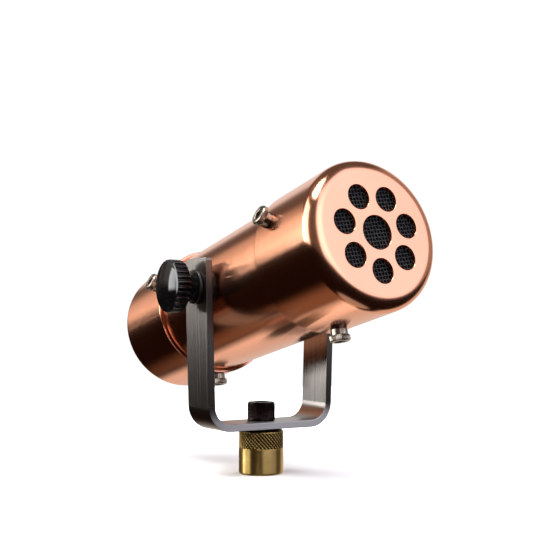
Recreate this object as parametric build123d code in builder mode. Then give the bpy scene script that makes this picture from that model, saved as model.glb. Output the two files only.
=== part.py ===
from build123d import *
from math import cos, radians, sin, sqrt, tan
import os

# End-address microphone in a copper pipe body, hung in a bent steel yoke on a brass
# stand adaptor. Millimetres, +Z up. The origin is the centre of the mouth of the
# adaptor's threaded bore. The body faces -Y and tilts about a level axis along X.

# ---------------------------------------------------------------- driving dimensions
# Body tube and the two caps. Stations run along the body's axis from the pivot,
# positive towards the front face.
body_tilt = 12.4                # nose up, degrees
tube_outer_radius = 27.0
tube_wall = 1.5
tube_end_gap = 0.2
cap_fit = 0.05                  # radial, cap over tube
cap_wall = 1.7
front_face = 80.8
front_cap_length = 38.2
front_edge_radius = 5.6
rear_face = 81.2
rear_cap_length = 40.5
rear_edge_radius = 5.2

# Sound holes in the front cap
hole_count = 7
hole_radius = 4.63
hole_pitch_radius = 14.33
centre_hole_radius = 6.37

# Screws that hold the caps, three in each
upper_screw_angle = 64.0        # from straight up, degrees
screw_inset_front = 7.9         # from the front cap's rim
screw_inset_rear = 4.8          # from the rear cap's rim
screw_radius = 2.41
screw_length = 9.5
screw_neck_radius = 3.3
screw_neck_height = 2.4
screw_head_radius = 3.95
screw_head_height = 2.4
screw_socket_flats = 3.97
nut_width = 8.0
nut_height = 3.4
nut_engagement = 0.8            # least thread that shows past a nut

# Yoke
bar_width = 18.2
bar_thickness = 3.0
arm_clearance = 1.6             # tube to the inside of an arm, at the pivot's height
yoke_splay = 1.86               # each arm leans outwards, degrees
yoke_drop = 55.8                # pivot to the top of the bottom bar
yoke_bend_radius = 7.5          # inside
arm_rise = 11.7                 # above the pivot
arm_corner_radius = 1.2

# Stand adaptor and the bolt that holds the yoke on it
adaptor_radius = 9.45
adaptor_length = 18.9
adaptor_top_chamfer = 1.3
adaptor_bottom_chamfer = 0.6
stand_thread_radius = 7.45
stand_thread_length = 12.0
bolt_radius = 3.95
bolt_length = 9.5
bolt_head_radius = 5.8
bolt_head_height = 7.9
bolt_head_chamfer = 0.5
bolt_socket_flats = 6.35
bolt_socket_depth = 4.0

# Pivot on each side: boss in the tube wall, saddle washer, stud, washer and knob
boss_radius = 5.45
boss_flange_radius = 8.0
boss_flange_depth = 6.0
boss_depth = 9.5
stud_radius = 3.125
stud_past_boss = 2.0            # inner end of the stud past its boss
saddle_radius = 7.5
knob_washer_radius = 7.0
knob_washer_thickness = 1.2
knob_hub_radius = 5.6
knob_hub_length = 5.9           # from the washer to the fluted rim
knob_thickness = 7.2
knob_radius = 10.74
knob_flute_count = 28
knob_flute_radius = 0.7
knob_dome = 0.9
knob_face_radius = 9.2
knob_hole_depth = 4.6           # depth of the stud in the fluted part

# Grille behind the sound holes
mesh_thickness = 0.8
foam_thickness = 3.0
mesh_ring_flange = 1.2
mesh_ring_spigot = 4.0
grille_margin = 1.0             # ring's bore outside the sound holes

# Ribbon motor and its chassis
motor_depth = 8.0
motor_width = 30.0
motor_height = 38.0
motor_window_width = 22.0
motor_window_height = 30.0
motor_floor = 2.8               # depth left behind the lead channels
lead_margin = 1.0               # channel's side past a lead
magnet_width = 5.0
magnet_length = 28.0
pole_gap = 5.0
pole_tip = 3.0
ribbon_width = 4.6
ribbon_thickness = 0.12
ribbon_fold = 0.6
ribbon_pitch = 2.0
terminal_block_thickness = 1.0
clamp_thickness = 1.8
clamp_width = 11.0
clamp_height = 3.4
clamp_screw_radius = 0.8
clamp_screw_spacing = 7.6
plate_thickness = 6.0
motor_gap = 1.0                 # between the mesh ring and the motor
motor_screw_radius = 1.25
motor_screw_head_radius = 1.9
motor_screw_depth = 4.0
isolator_width = 3.2
isolator_height = 1.5           # from a plate's rim to the tube
felt_radius = 17.0
felt_thickness = 3.5

# Chassis rods, transformer and its plate
rod_count = 3
rod_radius = 1.8
rod_edge = 3.8                  # from a rod's axis to a plate's rim
rod_end_radius = 1.25
rod_end_depth = 4.0
rod_nut_flats = 5.0
rod_nut_height = 2.4
rear_plate_thickness = 3.0
can_radius = 14.0
can_wall = 1.0
can_length = 29.0
can_flange_radius = 16.9
can_flange_thickness = 1.2
can_screw_count = 4
can_screw_radius = 0.8
can_screw_head_radius = 1.3
can_screw_depth = 2.4
core_width = 20.0
core_stack = 12.0
core_length = 22.0
core_leg = 6.0
core_window = 5.0
core_window_length = 14.0
coil_overhang = 3.5
board_edge = 4.4                # from the board's rim to the plate's rim
board_thickness = 1.6
lead_radius = 0.5
lead_side = 7.0
lead_height = 16.2
lead_hole_fit = 0.3

# Three-pin output connector in the rear cap
shell_radius = 11.0
shell_bore_radius = 9.4
shell_flange_radius = 13.0
shell_flange_thickness = 1.6
socket_depth = 13.5
insert_thickness = 3.5
pin_count = 3
pin_radius = 1.2
pin_pitch_radius = 4.6
pin_recess = 1.2                # pin tips below the shell's mouth
pin_tail = 2.5
shell_nut_radius = 14.0
shell_nut_thickness = 3.0
output_lead_radius = 0.6
output_lead_length = 3.3        # from the pins' tails to the transformer can

# Clearances
slide_fit = 0.05                # radial, for parts that only slip together
thread_fit = 0.02               # radial, for a screw in its thread
running_fit = 0.06              # radial, for a part that turns on a shaft
face_gap = 0.05                 # between faces that turn against each other
turning_gap = 0.3               # between parts that pass each other
hole_fit = 0.15                 # radial, for a screw's clearance hole

# ---------------------------------------------------------------- derived places
tube_inner_radius = tube_outer_radius - tube_wall
cap_outer_radius = tube_outer_radius + cap_fit + cap_wall
yoke_half_gap = tube_outer_radius + arm_clearance
plate_radius = tube_inner_radius - isolator_height
front_rim = front_face - front_cap_length
rear_rim = rear_cap_length - rear_face
tube_front = front_face - front_edge_radius - tube_end_gap
tube_rear = rear_edge_radius + tube_end_gap - rear_face
front_screw_station = front_rim + screw_inset_front
rear_screw_station = rear_rim - screw_inset_rear
screw_angles = (upper_screw_angle, 180.0, -upper_screw_angle)

bar_bottom = adaptor_length + face_gap
bar_top = bar_bottom + bar_thickness
pivot_height = bar_top + yoke_drop

pivot = Vector(0, 0, pivot_height)
forward = Vector(0, -cos(radians(body_tilt)), sin(radians(body_tilt)))
upward = Vector(0, sin(radians(body_tilt)), cos(radians(body_tilt)))
mic = Plane(origin=pivot, x_dir=(1, 0, 0), z_dir=forward)           # x across, y up, z forward
mic_section = Plane(origin=pivot, x_dir=(1, 0, 0), z_dir=-upward)   # x across, y forward
mic_side = Plane(origin=pivot, x_dir=forward, z_dir=(-1, 0, 0))     # x forward, y up
mic_axis = Axis(pivot, forward)

LEFT = -1                       # the side of -X
RIGHT = 1
SIDES = {"left": LEFT, "right": RIGHT}

os.makedirs("parts", exist_ok=True)


def spoke_plane(station, angle, radius):
    """A plane square to the body's skin, at an angle from straight up towards -X."""
    spoke = upward * cos(radians(angle)) - Vector(1, 0, 0) * sin(radians(angle))
    return Plane(origin=pivot + forward * station + spoke * radius, x_dir=forward, z_dir=spoke)


def spoke_planes(station, radius):
    """One such plane for each cap screw at a station."""
    return [spoke_plane(station, angle, radius) for angle in screw_angles]


def pivot_plane(side, distance):
    """A plane square to the pivot axis, at a distance out from the mid-plane."""
    return Plane(origin=(side * distance, 0, pivot_height), x_dir=(0, 1, 0), z_dir=(side, 0, 0))


def hexagon(flats):
    """Circumscribed radius of a hexagon of a given width across its flats."""
    return flats / (2 * cos(radians(30)))


# ================================================================ stand and yoke
# ---- stand adaptor: turned brass, threaded for the stand below and the bolt above
with BuildPart() as stand_adaptor:
    with BuildSketch(Plane.XY):
        Circle(adaptor_radius)
        Circle(stand_thread_radius, mode=Mode.SUBTRACT)
    extrude(amount=stand_thread_length)
    with BuildSketch(Plane.XY.offset(stand_thread_length)):
        Circle(adaptor_radius)
        Circle(bolt_radius + thread_fit, mode=Mode.SUBTRACT)
    extrude(amount=adaptor_length - stand_thread_length)
    top_edge = stand_adaptor.faces().sort_by(Axis.Z)[-1].edges().sort_by(SortBy.RADIUS)[-1]
    chamfer(top_edge, adaptor_top_chamfer)
    bottom_edge = stand_adaptor.faces().sort_by(Axis.Z)[0].edges().sort_by(SortBy.RADIUS)[-1]
    chamfer(bottom_edge, adaptor_bottom_chamfer)
stand_adaptor.part.label = "stand_adaptor"
export_step(stand_adaptor.part, "parts/stand_adaptor.step")

# ---- yoke bolt: socket head cap screw through the bar into the adaptor
bolt_seat = bar_top + face_gap
with BuildPart() as yoke_bolt:
    with BuildSketch(Plane.XY.offset(bolt_seat)):
        Circle(bolt_head_radius)
    extrude(amount=bolt_head_height)
    chamfer(yoke_bolt.faces().sort_by(Axis.Z)[-1].edges(), bolt_head_chamfer)
    with BuildSketch(Plane.XY.offset(bolt_seat + bolt_head_height)):
        RegularPolygon(hexagon(bolt_socket_flats), 6)
    extrude(amount=-bolt_socket_depth, mode=Mode.SUBTRACT)
    with BuildSketch(Plane.XY.offset(bolt_seat - bolt_length)):
        Circle(bolt_radius)
    extrude(amount=bolt_length)
yoke_bolt.part.label = "yoke_bolt"
export_step(yoke_bolt.part, "parts/yoke_bolt.step")

# ---- yoke: one flat bar bent to a U, its arms leaning outwards a little
splay_slope = tan(radians(yoke_splay))
arm_thickness_level = bar_thickness / cos(radians(yoke_splay))
arm_top = pivot_height + arm_rise


def arm_inside(height):
    """Distance from the mid-plane to an arm's inner face at a height."""
    return yoke_half_gap + splay_slope * (height - pivot_height)


def arm_outside(height):
    """Distance from the mid-plane to an arm's outer face at a height."""
    return arm_inside(height) + arm_thickness_level


yoke_outer_bend = yoke_bend_radius + bar_thickness
with BuildPart() as yoke:
    with BuildSketch(Plane.XZ):
        with BuildLine():
            inner = FilletPolyline(
                (-arm_inside(arm_top), arm_top),
                (-arm_inside(bar_top), bar_top),
                (arm_inside(bar_top), bar_top),
                (arm_inside(arm_top), arm_top),
                radius=yoke_bend_radius,
            )
            outer = FilletPolyline(
                (-arm_outside(arm_top), arm_top),
                (-arm_outside(bar_bottom), bar_bottom),
                (arm_outside(bar_bottom), bar_bottom),
                (arm_outside(arm_top), arm_top),
                radius=yoke_outer_bend,
            )
            Line(inner @ 0, outer @ 0)
            Line(inner @ 1, outer @ 1)
        make_face()
    extrude(amount=bar_width / 2, both=True)
    with BuildSketch(Plane.YZ.offset(-2 * yoke_half_gap)) as side_outline:
        with Locations((0, arm_top - pivot_height / 2)):
            Rectangle(bar_width, pivot_height)
        fillet(side_outline.vertices().group_by(Axis.Z)[-1], arm_corner_radius)
    extrude(amount=4 * yoke_half_gap, mode=Mode.INTERSECT)
    with BuildSketch(Plane.XY.offset(bar_bottom)):
        Circle(bolt_radius + running_fit)
    extrude(amount=bar_thickness, mode=Mode.SUBTRACT)
    with BuildSketch(pivot_plane(RIGHT, -2 * yoke_half_gap)):
        Circle(stud_radius + turning_gap)
    extrude(amount=4 * yoke_half_gap, mode=Mode.SUBTRACT)
yoke.part.label = "yoke"
export_step(yoke.part, "parts/yoke.step")

# ================================================================ body shell
# ---- body tube: copper pipe, tapped for the cap screws and bored for the pivot bosses
with BuildPart() as body_tube:
    with BuildSketch(mic.offset(tube_rear)):
        Circle(tube_outer_radius)
        Circle(tube_inner_radius, mode=Mode.SUBTRACT)
    extrude(amount=tube_front - tube_rear)
    for station in (front_screw_station, rear_screw_station):
        with BuildSketch(*spoke_planes(station, tube_inner_radius - tube_wall)):
            Circle(screw_radius + thread_fit)
        extrude(amount=3 * tube_wall, mode=Mode.SUBTRACT)
    with BuildSketch(pivot_plane(RIGHT, -2 * tube_outer_radius)):
        Circle(boss_radius + slide_fit)
    extrude(amount=4 * tube_outer_radius, mode=Mode.SUBTRACT)
body_tube.part.label = "body_tube"
export_step(body_tube.part, "parts/body_tube.step")

# ---- front cap: drawn copper, its face drilled with the sound holes
with BuildPart() as front_cap:
    with BuildSketch(mic.offset(front_rim)):
        Circle(cap_outer_radius)
    extrude(amount=front_cap_length)
    fillet(front_cap.faces().sort_by(mic_axis)[-1].edges(), front_edge_radius)
    offset(amount=-cap_wall, openings=front_cap.faces().sort_by(mic_axis)[0])
    with BuildSketch(mic.offset(front_face)):
        Circle(centre_hole_radius)
        with PolarLocations(hole_pitch_radius, hole_count, start_angle=-90):
            Circle(hole_radius)
    extrude(amount=-2 * cap_wall, mode=Mode.SUBTRACT)
    with BuildSketch(*spoke_planes(front_screw_station, tube_outer_radius - cap_wall)):
        Circle(screw_radius + hole_fit)
    extrude(amount=3 * cap_wall, mode=Mode.SUBTRACT)
front_cap.part.label = "front_cap"
export_step(front_cap.part, "parts/front_cap.step")

# ---- rear cap: the same pipe cap, bored for the output connector
with BuildPart() as rear_cap:
    with BuildSketch(mic.offset(-rear_face)):
        Circle(cap_outer_radius)
    extrude(amount=rear_cap_length)
    fillet(rear_cap.faces().sort_by(mic_axis)[0].edges(), rear_edge_radius)
    offset(amount=-cap_wall, openings=rear_cap.faces().sort_by(mic_axis)[-1])
    with BuildSketch(mic.offset(-rear_face)):
        Circle(shell_radius + slide_fit)
    extrude(amount=2 * cap_wall, mode=Mode.SUBTRACT)
    with BuildSketch(*spoke_planes(rear_screw_station, tube_outer_radius - cap_wall)):
        Circle(screw_radius + hole_fit)
    extrude(amount=3 * cap_wall, mode=Mode.SUBTRACT)
rear_cap.part.label = "rear_cap"
export_step(rear_cap.part, "parts/rear_cap.step")

# ---- cap screws: stainless socket heads, knurled above a narrower smooth neck
for end, station in {"front": front_screw_station, "rear": rear_screw_station}.items():
    with BuildPart() as cap_screws:
        with BuildSketch(*spoke_planes(station, cap_outer_radius - screw_length)):
            Circle(screw_radius)
        extrude(amount=screw_length)
        with BuildSketch(*spoke_planes(station, cap_outer_radius)):
            Circle(screw_neck_radius)
        extrude(amount=screw_neck_height)
        with BuildSketch(*spoke_planes(station, cap_outer_radius + screw_neck_height)):
            Circle(screw_head_radius)
            RegularPolygon(hexagon(screw_socket_flats), 6, mode=Mode.SUBTRACT)
        extrude(amount=screw_head_height)
    cap_screws.part.label = f"{end}_cap_screws"
    export_step(cap_screws.part, f"parts/{end}_cap_screws.step")

# ---- screw nuts: brass blocks inside the tube, curved to its wall
for end, station in {"front": front_screw_station, "rear": rear_screw_station}.items():
    nut_foot = tube_inner_radius - nut_height
    with BuildPart() as screw_nuts:
        with BuildSketch(*spoke_planes(station, nut_foot - nut_engagement)):
            Rectangle(nut_width, nut_width)
        extrude(amount=2 * nut_height)
        with BuildSketch(mic.offset(station)):
            Circle(tube_inner_radius)
        extrude(amount=nut_width, both=True, mode=Mode.INTERSECT)
        with BuildSketch(*spoke_planes(station, nut_foot - nut_width)):
            Circle(screw_radius + thread_fit)
        extrude(amount=3 * nut_width, mode=Mode.SUBTRACT)
    screw_nuts.part.label = f"{end}_screw_nuts"
    export_step(screw_nuts.part, f"parts/{end}_screw_nuts.step")

# ================================================================ pivot and knobs
boss_reach = sqrt(tube_outer_radius ** 2 - boss_radius ** 2)
boss_inside = tube_inner_radius - boss_depth
saddle_face = yoke_half_gap - splay_slope * saddle_radius - turning_gap
washer_inside = arm_outside(pivot_height) + splay_slope * knob_washer_radius + face_gap
washer_outside = washer_inside + knob_washer_thickness
hub_inside = washer_outside + face_gap
knob_back = hub_inside + knob_hub_length
knob_face = knob_back + knob_thickness
stud_inside = boss_inside - stud_past_boss
stud_outside = knob_back + knob_hole_depth

for name, side in SIDES.items():
    # ---- pivot boss: brass, flanged inside the tube, threaded for the stud
    with BuildPart() as pivot_boss:
        with BuildSketch(pivot_plane(side, tube_inner_radius - boss_flange_depth)):
            Circle(boss_flange_radius)
        extrude(amount=2 * boss_flange_depth)
        with BuildSketch(mic.offset(-2 * boss_flange_radius)):
            Circle(tube_inner_radius)
        extrude(amount=4 * boss_flange_radius, mode=Mode.INTERSECT)
        with BuildSketch(pivot_plane(side, boss_inside)):
            Circle(boss_radius)
        extrude(amount=boss_reach - boss_inside)
        with BuildSketch(pivot_plane(side, boss_inside)):
            Circle(stud_radius + running_fit)
        extrude(amount=boss_reach, mode=Mode.SUBTRACT)
    pivot_boss.part.label = f"{name}_pivot_boss"
    export_step(pivot_boss.part, f"parts/{name}_pivot_boss.step")

    # ---- saddle washer: nylon, hollowed to sit on the tube, flat towards the arm
    with BuildPart() as saddle_washer:
        with BuildSketch(pivot_plane(side, boss_reach - tube_wall)):
            Circle(saddle_radius)
            Circle(stud_radius + turning_gap, mode=Mode.SUBTRACT)
        extrude(amount=saddle_face - boss_reach + tube_wall)
        with BuildSketch(mic.offset(-2 * saddle_radius)):
            Circle(tube_outer_radius)
        extrude(amount=4 * saddle_radius, mode=Mode.SUBTRACT)
    saddle_washer.part.label = f"{name}_saddle_washer"
    export_step(saddle_washer.part, f"parts/{name}_saddle_washer.step")

    # ---- knob washer: steel, between the arm and the knob's hub
    with BuildPart() as knob_washer:
        with BuildSketch(pivot_plane(side, washer_inside)):
            Circle(knob_washer_radius)
            Circle(stud_radius + running_fit, mode=Mode.SUBTRACT)
        extrude(amount=knob_washer_thickness)
    knob_washer.part.label = f"{name}_knob_washer"
    export_step(knob_washer.part, f"parts/{name}_knob_washer.step")

    # ---- pivot stud: threaded steel rod, moulded into the knob
    with BuildPart() as pivot_stud:
        with BuildSketch(pivot_plane(side, stud_inside)):
            Circle(stud_radius)
        extrude(amount=stud_outside - stud_inside)
    pivot_stud.part.label = f"{name}_pivot_stud"
    export_step(pivot_stud.part, f"parts/{name}_pivot_stud.step")

    # ---- knob: black moulding, round hub, fluted rim and a shallow domed face
    with BuildPart() as knob:
        with BuildSketch(pivot_plane(side, hub_inside)):
            Circle(knob_hub_radius)
        extrude(amount=knob_back - hub_inside)
        with BuildSketch(pivot_plane(side, knob_back)):
            Circle(knob_radius)
            with PolarLocations(knob_radius, knob_flute_count):
                Circle(knob_flute_radius, mode=Mode.SUBTRACT)
        extrude(amount=knob_thickness - knob_dome)
        with BuildSketch(pivot_plane(side, knob_face - knob_dome)):
            Circle(knob_face_radius)
        extrude(amount=knob_dome)
        with BuildSketch(pivot_plane(side, hub_inside)):
            Circle(stud_radius)
        extrude(amount=stud_outside - hub_inside, mode=Mode.SUBTRACT)
    knob.part.label = f"{name}_knob"
    export_step(knob.part, f"parts/{name}_knob.step")

# ================================================================ grille
grille_radius = cap_outer_radius - front_edge_radius - turning_gap
grille_bore = hole_pitch_radius + hole_radius + grille_margin
mesh_front = front_face - cap_wall
mesh_back = mesh_front - mesh_thickness

# ---- grille mesh: woven wire disc behind the sound holes
with BuildPart() as grille_mesh:
    with BuildSketch(mic.offset(mesh_back)):
        Circle(grille_radius)
    extrude(amount=mesh_thickness)
grille_mesh.part.label = "grille_mesh"
export_step(grille_mesh.part, "parts/grille_mesh.step")

# ---- foam disc: dark open foam that backs the mesh
with BuildPart() as foam_disc:
    with BuildSketch(mic.offset(mesh_back - foam_thickness)):
        Circle(grille_bore)
    extrude(amount=foam_thickness)
foam_disc.part.label = "foam_disc"
export_step(foam_disc.part, "parts/foam_disc.step")

# ---- mesh ring: spigot in the tube, flange on its end, nose against the mesh
with BuildPart() as mesh_ring:
    with BuildSketch(mic.offset(tube_front - mesh_ring_spigot)):
        Circle(tube_inner_radius - slide_fit)
    extrude(amount=mesh_ring_spigot)
    with BuildSketch(mic.offset(tube_front)):
        Circle(tube_outer_radius - turning_gap)
    extrude(amount=mesh_ring_flange)
    with BuildSketch(mic.offset(tube_front + mesh_ring_flange)):
        Circle(grille_radius)
    extrude(amount=mesh_back - tube_front - mesh_ring_flange)
    with BuildSketch(mic.offset(tube_front - mesh_ring_spigot)):
        Circle(grille_bore)
    extrude(amount=mesh_back - tube_front + mesh_ring_spigot, mode=Mode.SUBTRACT)
mesh_ring.part.label = "mesh_ring"
export_step(mesh_ring.part, "parts/mesh_ring.step")

# ================================================================ ribbon motor
motor_front = tube_front - mesh_ring_spigot - motor_gap
motor_back = motor_front - motor_depth
plate_back = motor_back - plate_thickness
channel_floor = motor_back + motor_floor
clamp_middle = (motor_window_height + motor_height) / 4
side_bar_middle = (motor_window_width + motor_width) / 4
block_top = channel_floor + terminal_block_thickness
ribbon_level = block_top + ribbon_thickness / 2
clamp_foot = ribbon_level + ribbon_thickness / 2
motor_corners = GridLocations(2 * side_bar_middle, 2 * clamp_middle, 2, 2)
clamp_holes = GridLocations(clamp_screw_spacing, 2 * clamp_middle, 2, 2)
lead_places = [(lead_side, lead_height), (lead_side, -lead_height)]

# ---- motor frame: steel return frame with a channel for the ribbon's ends
with BuildPart() as motor_frame:
    with BuildSketch(mic.offset(motor_back)):
        Rectangle(motor_width, motor_height)
        Rectangle(motor_window_width, motor_window_height, mode=Mode.SUBTRACT)
        with Locations(*lead_places):
            Circle(lead_radius + lead_hole_fit, mode=Mode.SUBTRACT)
    extrude(amount=motor_depth)
    with BuildSketch(mic.offset(channel_floor)):
        Rectangle(2 * (lead_side + lead_margin), motor_height)
    extrude(amount=motor_depth, mode=Mode.SUBTRACT)
    with BuildSketch(mic.offset(motor_back)):
        with clamp_holes:
            Circle(clamp_screw_radius + thread_fit)
        with motor_corners:
            Circle(motor_screw_radius + hole_fit)
    extrude(amount=motor_depth, mode=Mode.SUBTRACT)
motor_frame.part.label = "motor_frame"
export_step(motor_frame.part, "parts/motor_frame.step")

# ---- magnets: one bar against each side of the frame
pole_root = motor_window_width / 2 - magnet_width
for name, side in SIDES.items():
    with BuildPart() as magnet:
        with BuildSketch(mic.offset(motor_back)):
            with Locations((side * (pole_root + magnet_width / 2), 0)):
                Rectangle(magnet_width, magnet_length)
        extrude(amount=motor_depth)
    magnet.part.label = f"{name}_magnet"
    export_step(magnet.part, f"parts/{name}_magnet.step")

    # ---- pole pieces: steel bars that taper from the magnet to the ribbon's gap
    with BuildPart() as pole_piece:
        with BuildSketch(mic_section):
            with BuildLine():
                Polyline(
                    (side * pole_root, motor_back),
                    (side * pole_root, motor_front),
                    (side * pole_gap / 2, ribbon_level + pole_tip / 2),
                    (side * pole_gap / 2, ribbon_level - pole_tip / 2),
                    close=True,
                )
            make_face()
        extrude(amount=magnet_length / 2, both=True)
    pole_piece.part.label = f"{name}_pole_piece"
    export_step(pole_piece.part, f"parts/{name}_pole_piece.step")

# ---- ribbon: corrugated foil with flat ends, standing in the gap
fold_count = int((motor_window_height - 2 * ribbon_pitch) / ribbon_pitch)
fold_start = -fold_count * ribbon_pitch / 2
ribbon_end = clamp_middle + clamp_height / 2
folds = [
    (ribbon_level + ribbon_fold * (1 if index % 2 else -1), fold_start + index * ribbon_pitch)
    for index in range(1, fold_count)
]
ribbon_line = [
    (ribbon_level, -ribbon_end),
    (ribbon_level, fold_start),
    *folds,
    (ribbon_level, -fold_start),
    (ribbon_level, ribbon_end),
]
ribbon_front = [(level + ribbon_thickness / 2, height) for level, height in ribbon_line]
ribbon_back = [(level - ribbon_thickness / 2, height) for level, height in reversed(ribbon_line)]
with BuildPart() as ribbon:
    with BuildSketch(mic_side):
        with BuildLine():
            Polyline(*ribbon_front, *ribbon_back, close=True)
        make_face()
    extrude(amount=ribbon_width / 2, both=True)
ribbon.part.label = "ribbon"
export_step(ribbon.part, "parts/ribbon.step")

# ---- terminal blocks and ribbon clamps, one of each above and below the gap
for name, way in {"upper": 1, "lower": -1}.items():
    with BuildPart() as terminal_block:
        with BuildSketch(mic.offset(channel_floor)):
            with Locations((0, way * clamp_middle)):
                Rectangle(clamp_width, clamp_height)
                with GridLocations(clamp_screw_spacing, 0, 2, 1):
                    Circle(clamp_screw_radius + thread_fit, mode=Mode.SUBTRACT)
        extrude(amount=terminal_block_thickness)
    terminal_block.part.label = f"{name}_terminal_block"
    export_step(terminal_block.part, f"parts/{name}_terminal_block.step")

    with BuildPart() as ribbon_clamp:
        with BuildSketch(mic.offset(clamp_foot)):
            with Locations((0, way * clamp_middle)):
                Rectangle(clamp_width, clamp_height)
                with GridLocations(clamp_screw_spacing, 0, 2, 1):
                    Circle(clamp_screw_radius + thread_fit, mode=Mode.SUBTRACT)
        extrude(amount=clamp_thickness)
    ribbon_clamp.part.label = f"{name}_ribbon_clamp"
    export_step(ribbon_clamp.part, f"parts/{name}_ribbon_clamp.step")

# ---- clamp screws: four small brass cheese heads
clamp_top = clamp_foot + clamp_thickness
with BuildPart() as clamp_screws:
    with BuildSketch(mic.offset(motor_back + thread_fit)):
        with clamp_holes:
            Circle(clamp_screw_radius)
    extrude(amount=clamp_top - motor_back - thread_fit)
    with BuildSketch(mic.offset(clamp_top)):
        with clamp_holes:
            Circle(2 * clamp_screw_radius)
    extrude(amount=clamp_screw_radius)
clamp_screws.part.label = "clamp_screws"
export_step(clamp_screws.part, "parts/clamp_screws.step")

# ================================================================ chassis
shell_mouth = -rear_face - shell_flange_thickness
insert_front = shell_mouth + socket_depth
insert_back = insert_front + insert_thickness
can_back = insert_back + pin_tail + output_lead_length
can_front = can_back + can_length
rear_plate_back = can_front
rear_plate_station = rear_plate_back + rear_plate_thickness
rod_ring = PolarLocations(plate_radius - rod_edge, rod_count, start_angle=90)
isolator_middle = plate_back + plate_thickness / 2

# ---- motor plate: aluminium disc with a window behind the ribbon
with BuildPart() as motor_plate:
    with BuildSketch(mic.offset(plate_back)):
        Circle(plate_radius)
        Rectangle(2 * pole_root, magnet_length, mode=Mode.SUBTRACT)
        with Locations(*lead_places):
            Circle(lead_radius + lead_hole_fit, mode=Mode.SUBTRACT)
    extrude(amount=plate_thickness)
    with BuildSketch(mic.offset(plate_back)):
        with rod_ring:
            Circle(rod_end_radius + thread_fit)
    extrude(amount=rod_end_depth, mode=Mode.SUBTRACT)
    with BuildSketch(mic.offset(motor_back)):
        with motor_corners:
            Circle(motor_screw_radius + thread_fit)
    extrude(amount=-motor_screw_depth, mode=Mode.SUBTRACT)
motor_plate.part.label = "motor_plate"
export_step(motor_plate.part, "parts/motor_plate.step")

# ---- motor screws: hold the frame on the plate
with BuildPart() as motor_screws:
    with BuildSketch(mic.offset(motor_back - motor_screw_depth)):
        with motor_corners:
            Circle(motor_screw_radius)
    extrude(amount=motor_screw_depth + motor_depth)
    with BuildSketch(mic.offset(motor_front)):
        with motor_corners:
            Circle(motor_screw_head_radius)
    extrude(amount=motor_gap / 2)
motor_screws.part.label = "motor_screws"
export_step(motor_screws.part, "parts/motor_screws.step")

# ---- felt pad: damping behind the motor plate
with BuildPart() as felt_pad:
    with BuildSketch(mic.offset(plate_back - felt_thickness)):
        Circle(felt_radius)
        with Locations(*lead_places):
            Circle(2 * lead_radius + lead_hole_fit, mode=Mode.SUBTRACT)
    extrude(amount=felt_thickness)
felt_pad.part.label = "felt_pad"
export_step(felt_pad.part, "parts/felt_pad.step")

# ---- isolators: rubber rings between each plate and the tube
isolators = {"front": isolator_middle, "rear": rear_plate_station - rear_plate_thickness / 2}
for name, middle in isolators.items():
    with BuildPart() as isolator:
        with BuildSketch(mic.offset(middle - isolator_width / 2)):
            Circle(tube_inner_radius)
            Circle(plate_radius, mode=Mode.SUBTRACT)
        extrude(amount=isolator_width)
    isolator.part.label = f"{name}_isolator"
    export_step(isolator.part, f"parts/{name}_isolator.step")

# ---- chassis rods: join the two plates past the pivot bosses
rod_length = plate_back - rear_plate_station
with BuildPart() as chassis_rods:
    with BuildSketch(mic.offset(rear_plate_station)):
        with rod_ring:
            Circle(rod_radius)
    extrude(amount=rod_length)
    with BuildSketch(mic.offset(rear_plate_back - rod_nut_height)):
        with rod_ring:
            Circle(rod_end_radius)
    extrude(amount=rear_plate_thickness + rod_nut_height + rod_length + rod_end_depth)
chassis_rods.part.label = "chassis_rods"
export_step(chassis_rods.part, "parts/chassis_rods.step")

# ---- rod nuts: hexagon nuts behind the transformer plate
with BuildPart() as rod_nuts:
    with BuildSketch(mic.offset(rear_plate_back - rod_nut_height)):
        with rod_ring:
            RegularPolygon(hexagon(rod_nut_flats), 6)
            Circle(rod_end_radius + thread_fit, mode=Mode.SUBTRACT)
    extrude(amount=rod_nut_height)
rod_nuts.part.label = "rod_nuts"
export_step(rod_nuts.part, "parts/rod_nuts.step")

# ---- transformer plate: aluminium disc across the tube behind the pivots
can_holes = PolarLocations((can_radius + can_flange_radius) / 2, can_screw_count, start_angle=45)
with BuildPart() as transformer_plate:
    with BuildSketch(mic.offset(rear_plate_back)):
        Circle(plate_radius)
        with rod_ring:
            Circle(rod_end_radius + thread_fit, mode=Mode.SUBTRACT)
        with can_holes:
            Circle(can_screw_radius + thread_fit, mode=Mode.SUBTRACT)
    extrude(amount=rear_plate_thickness)
transformer_plate.part.label = "transformer_plate"
export_step(transformer_plate.part, "parts/transformer_plate.step")

# ---- terminal board: insulating disc where the ribbon's leads end
with BuildPart() as terminal_board:
    with BuildSketch(mic.offset(rear_plate_station)):
        Circle(plate_radius - board_edge)
        with rod_ring:
            Circle(rod_radius + turning_gap, mode=Mode.SUBTRACT)
    extrude(amount=board_thickness)
terminal_board.part.label = "terminal_board"
export_step(terminal_board.part, "parts/terminal_board.step")

# ---- ribbon leads: straight wires from the clamps back to the terminal board
with BuildPart() as ribbon_leads:
    with BuildSketch(mic.offset(rear_plate_station + board_thickness)):
        with Locations(*lead_places):
            Circle(lead_radius)
    extrude(amount=channel_floor - rear_plate_station - board_thickness)
ribbon_leads.part.label = "ribbon_leads"
export_step(ribbon_leads.part, "parts/ribbon_leads.step")

# ================================================================ transformer
core_middle = can_front - can_length / 2

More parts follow.
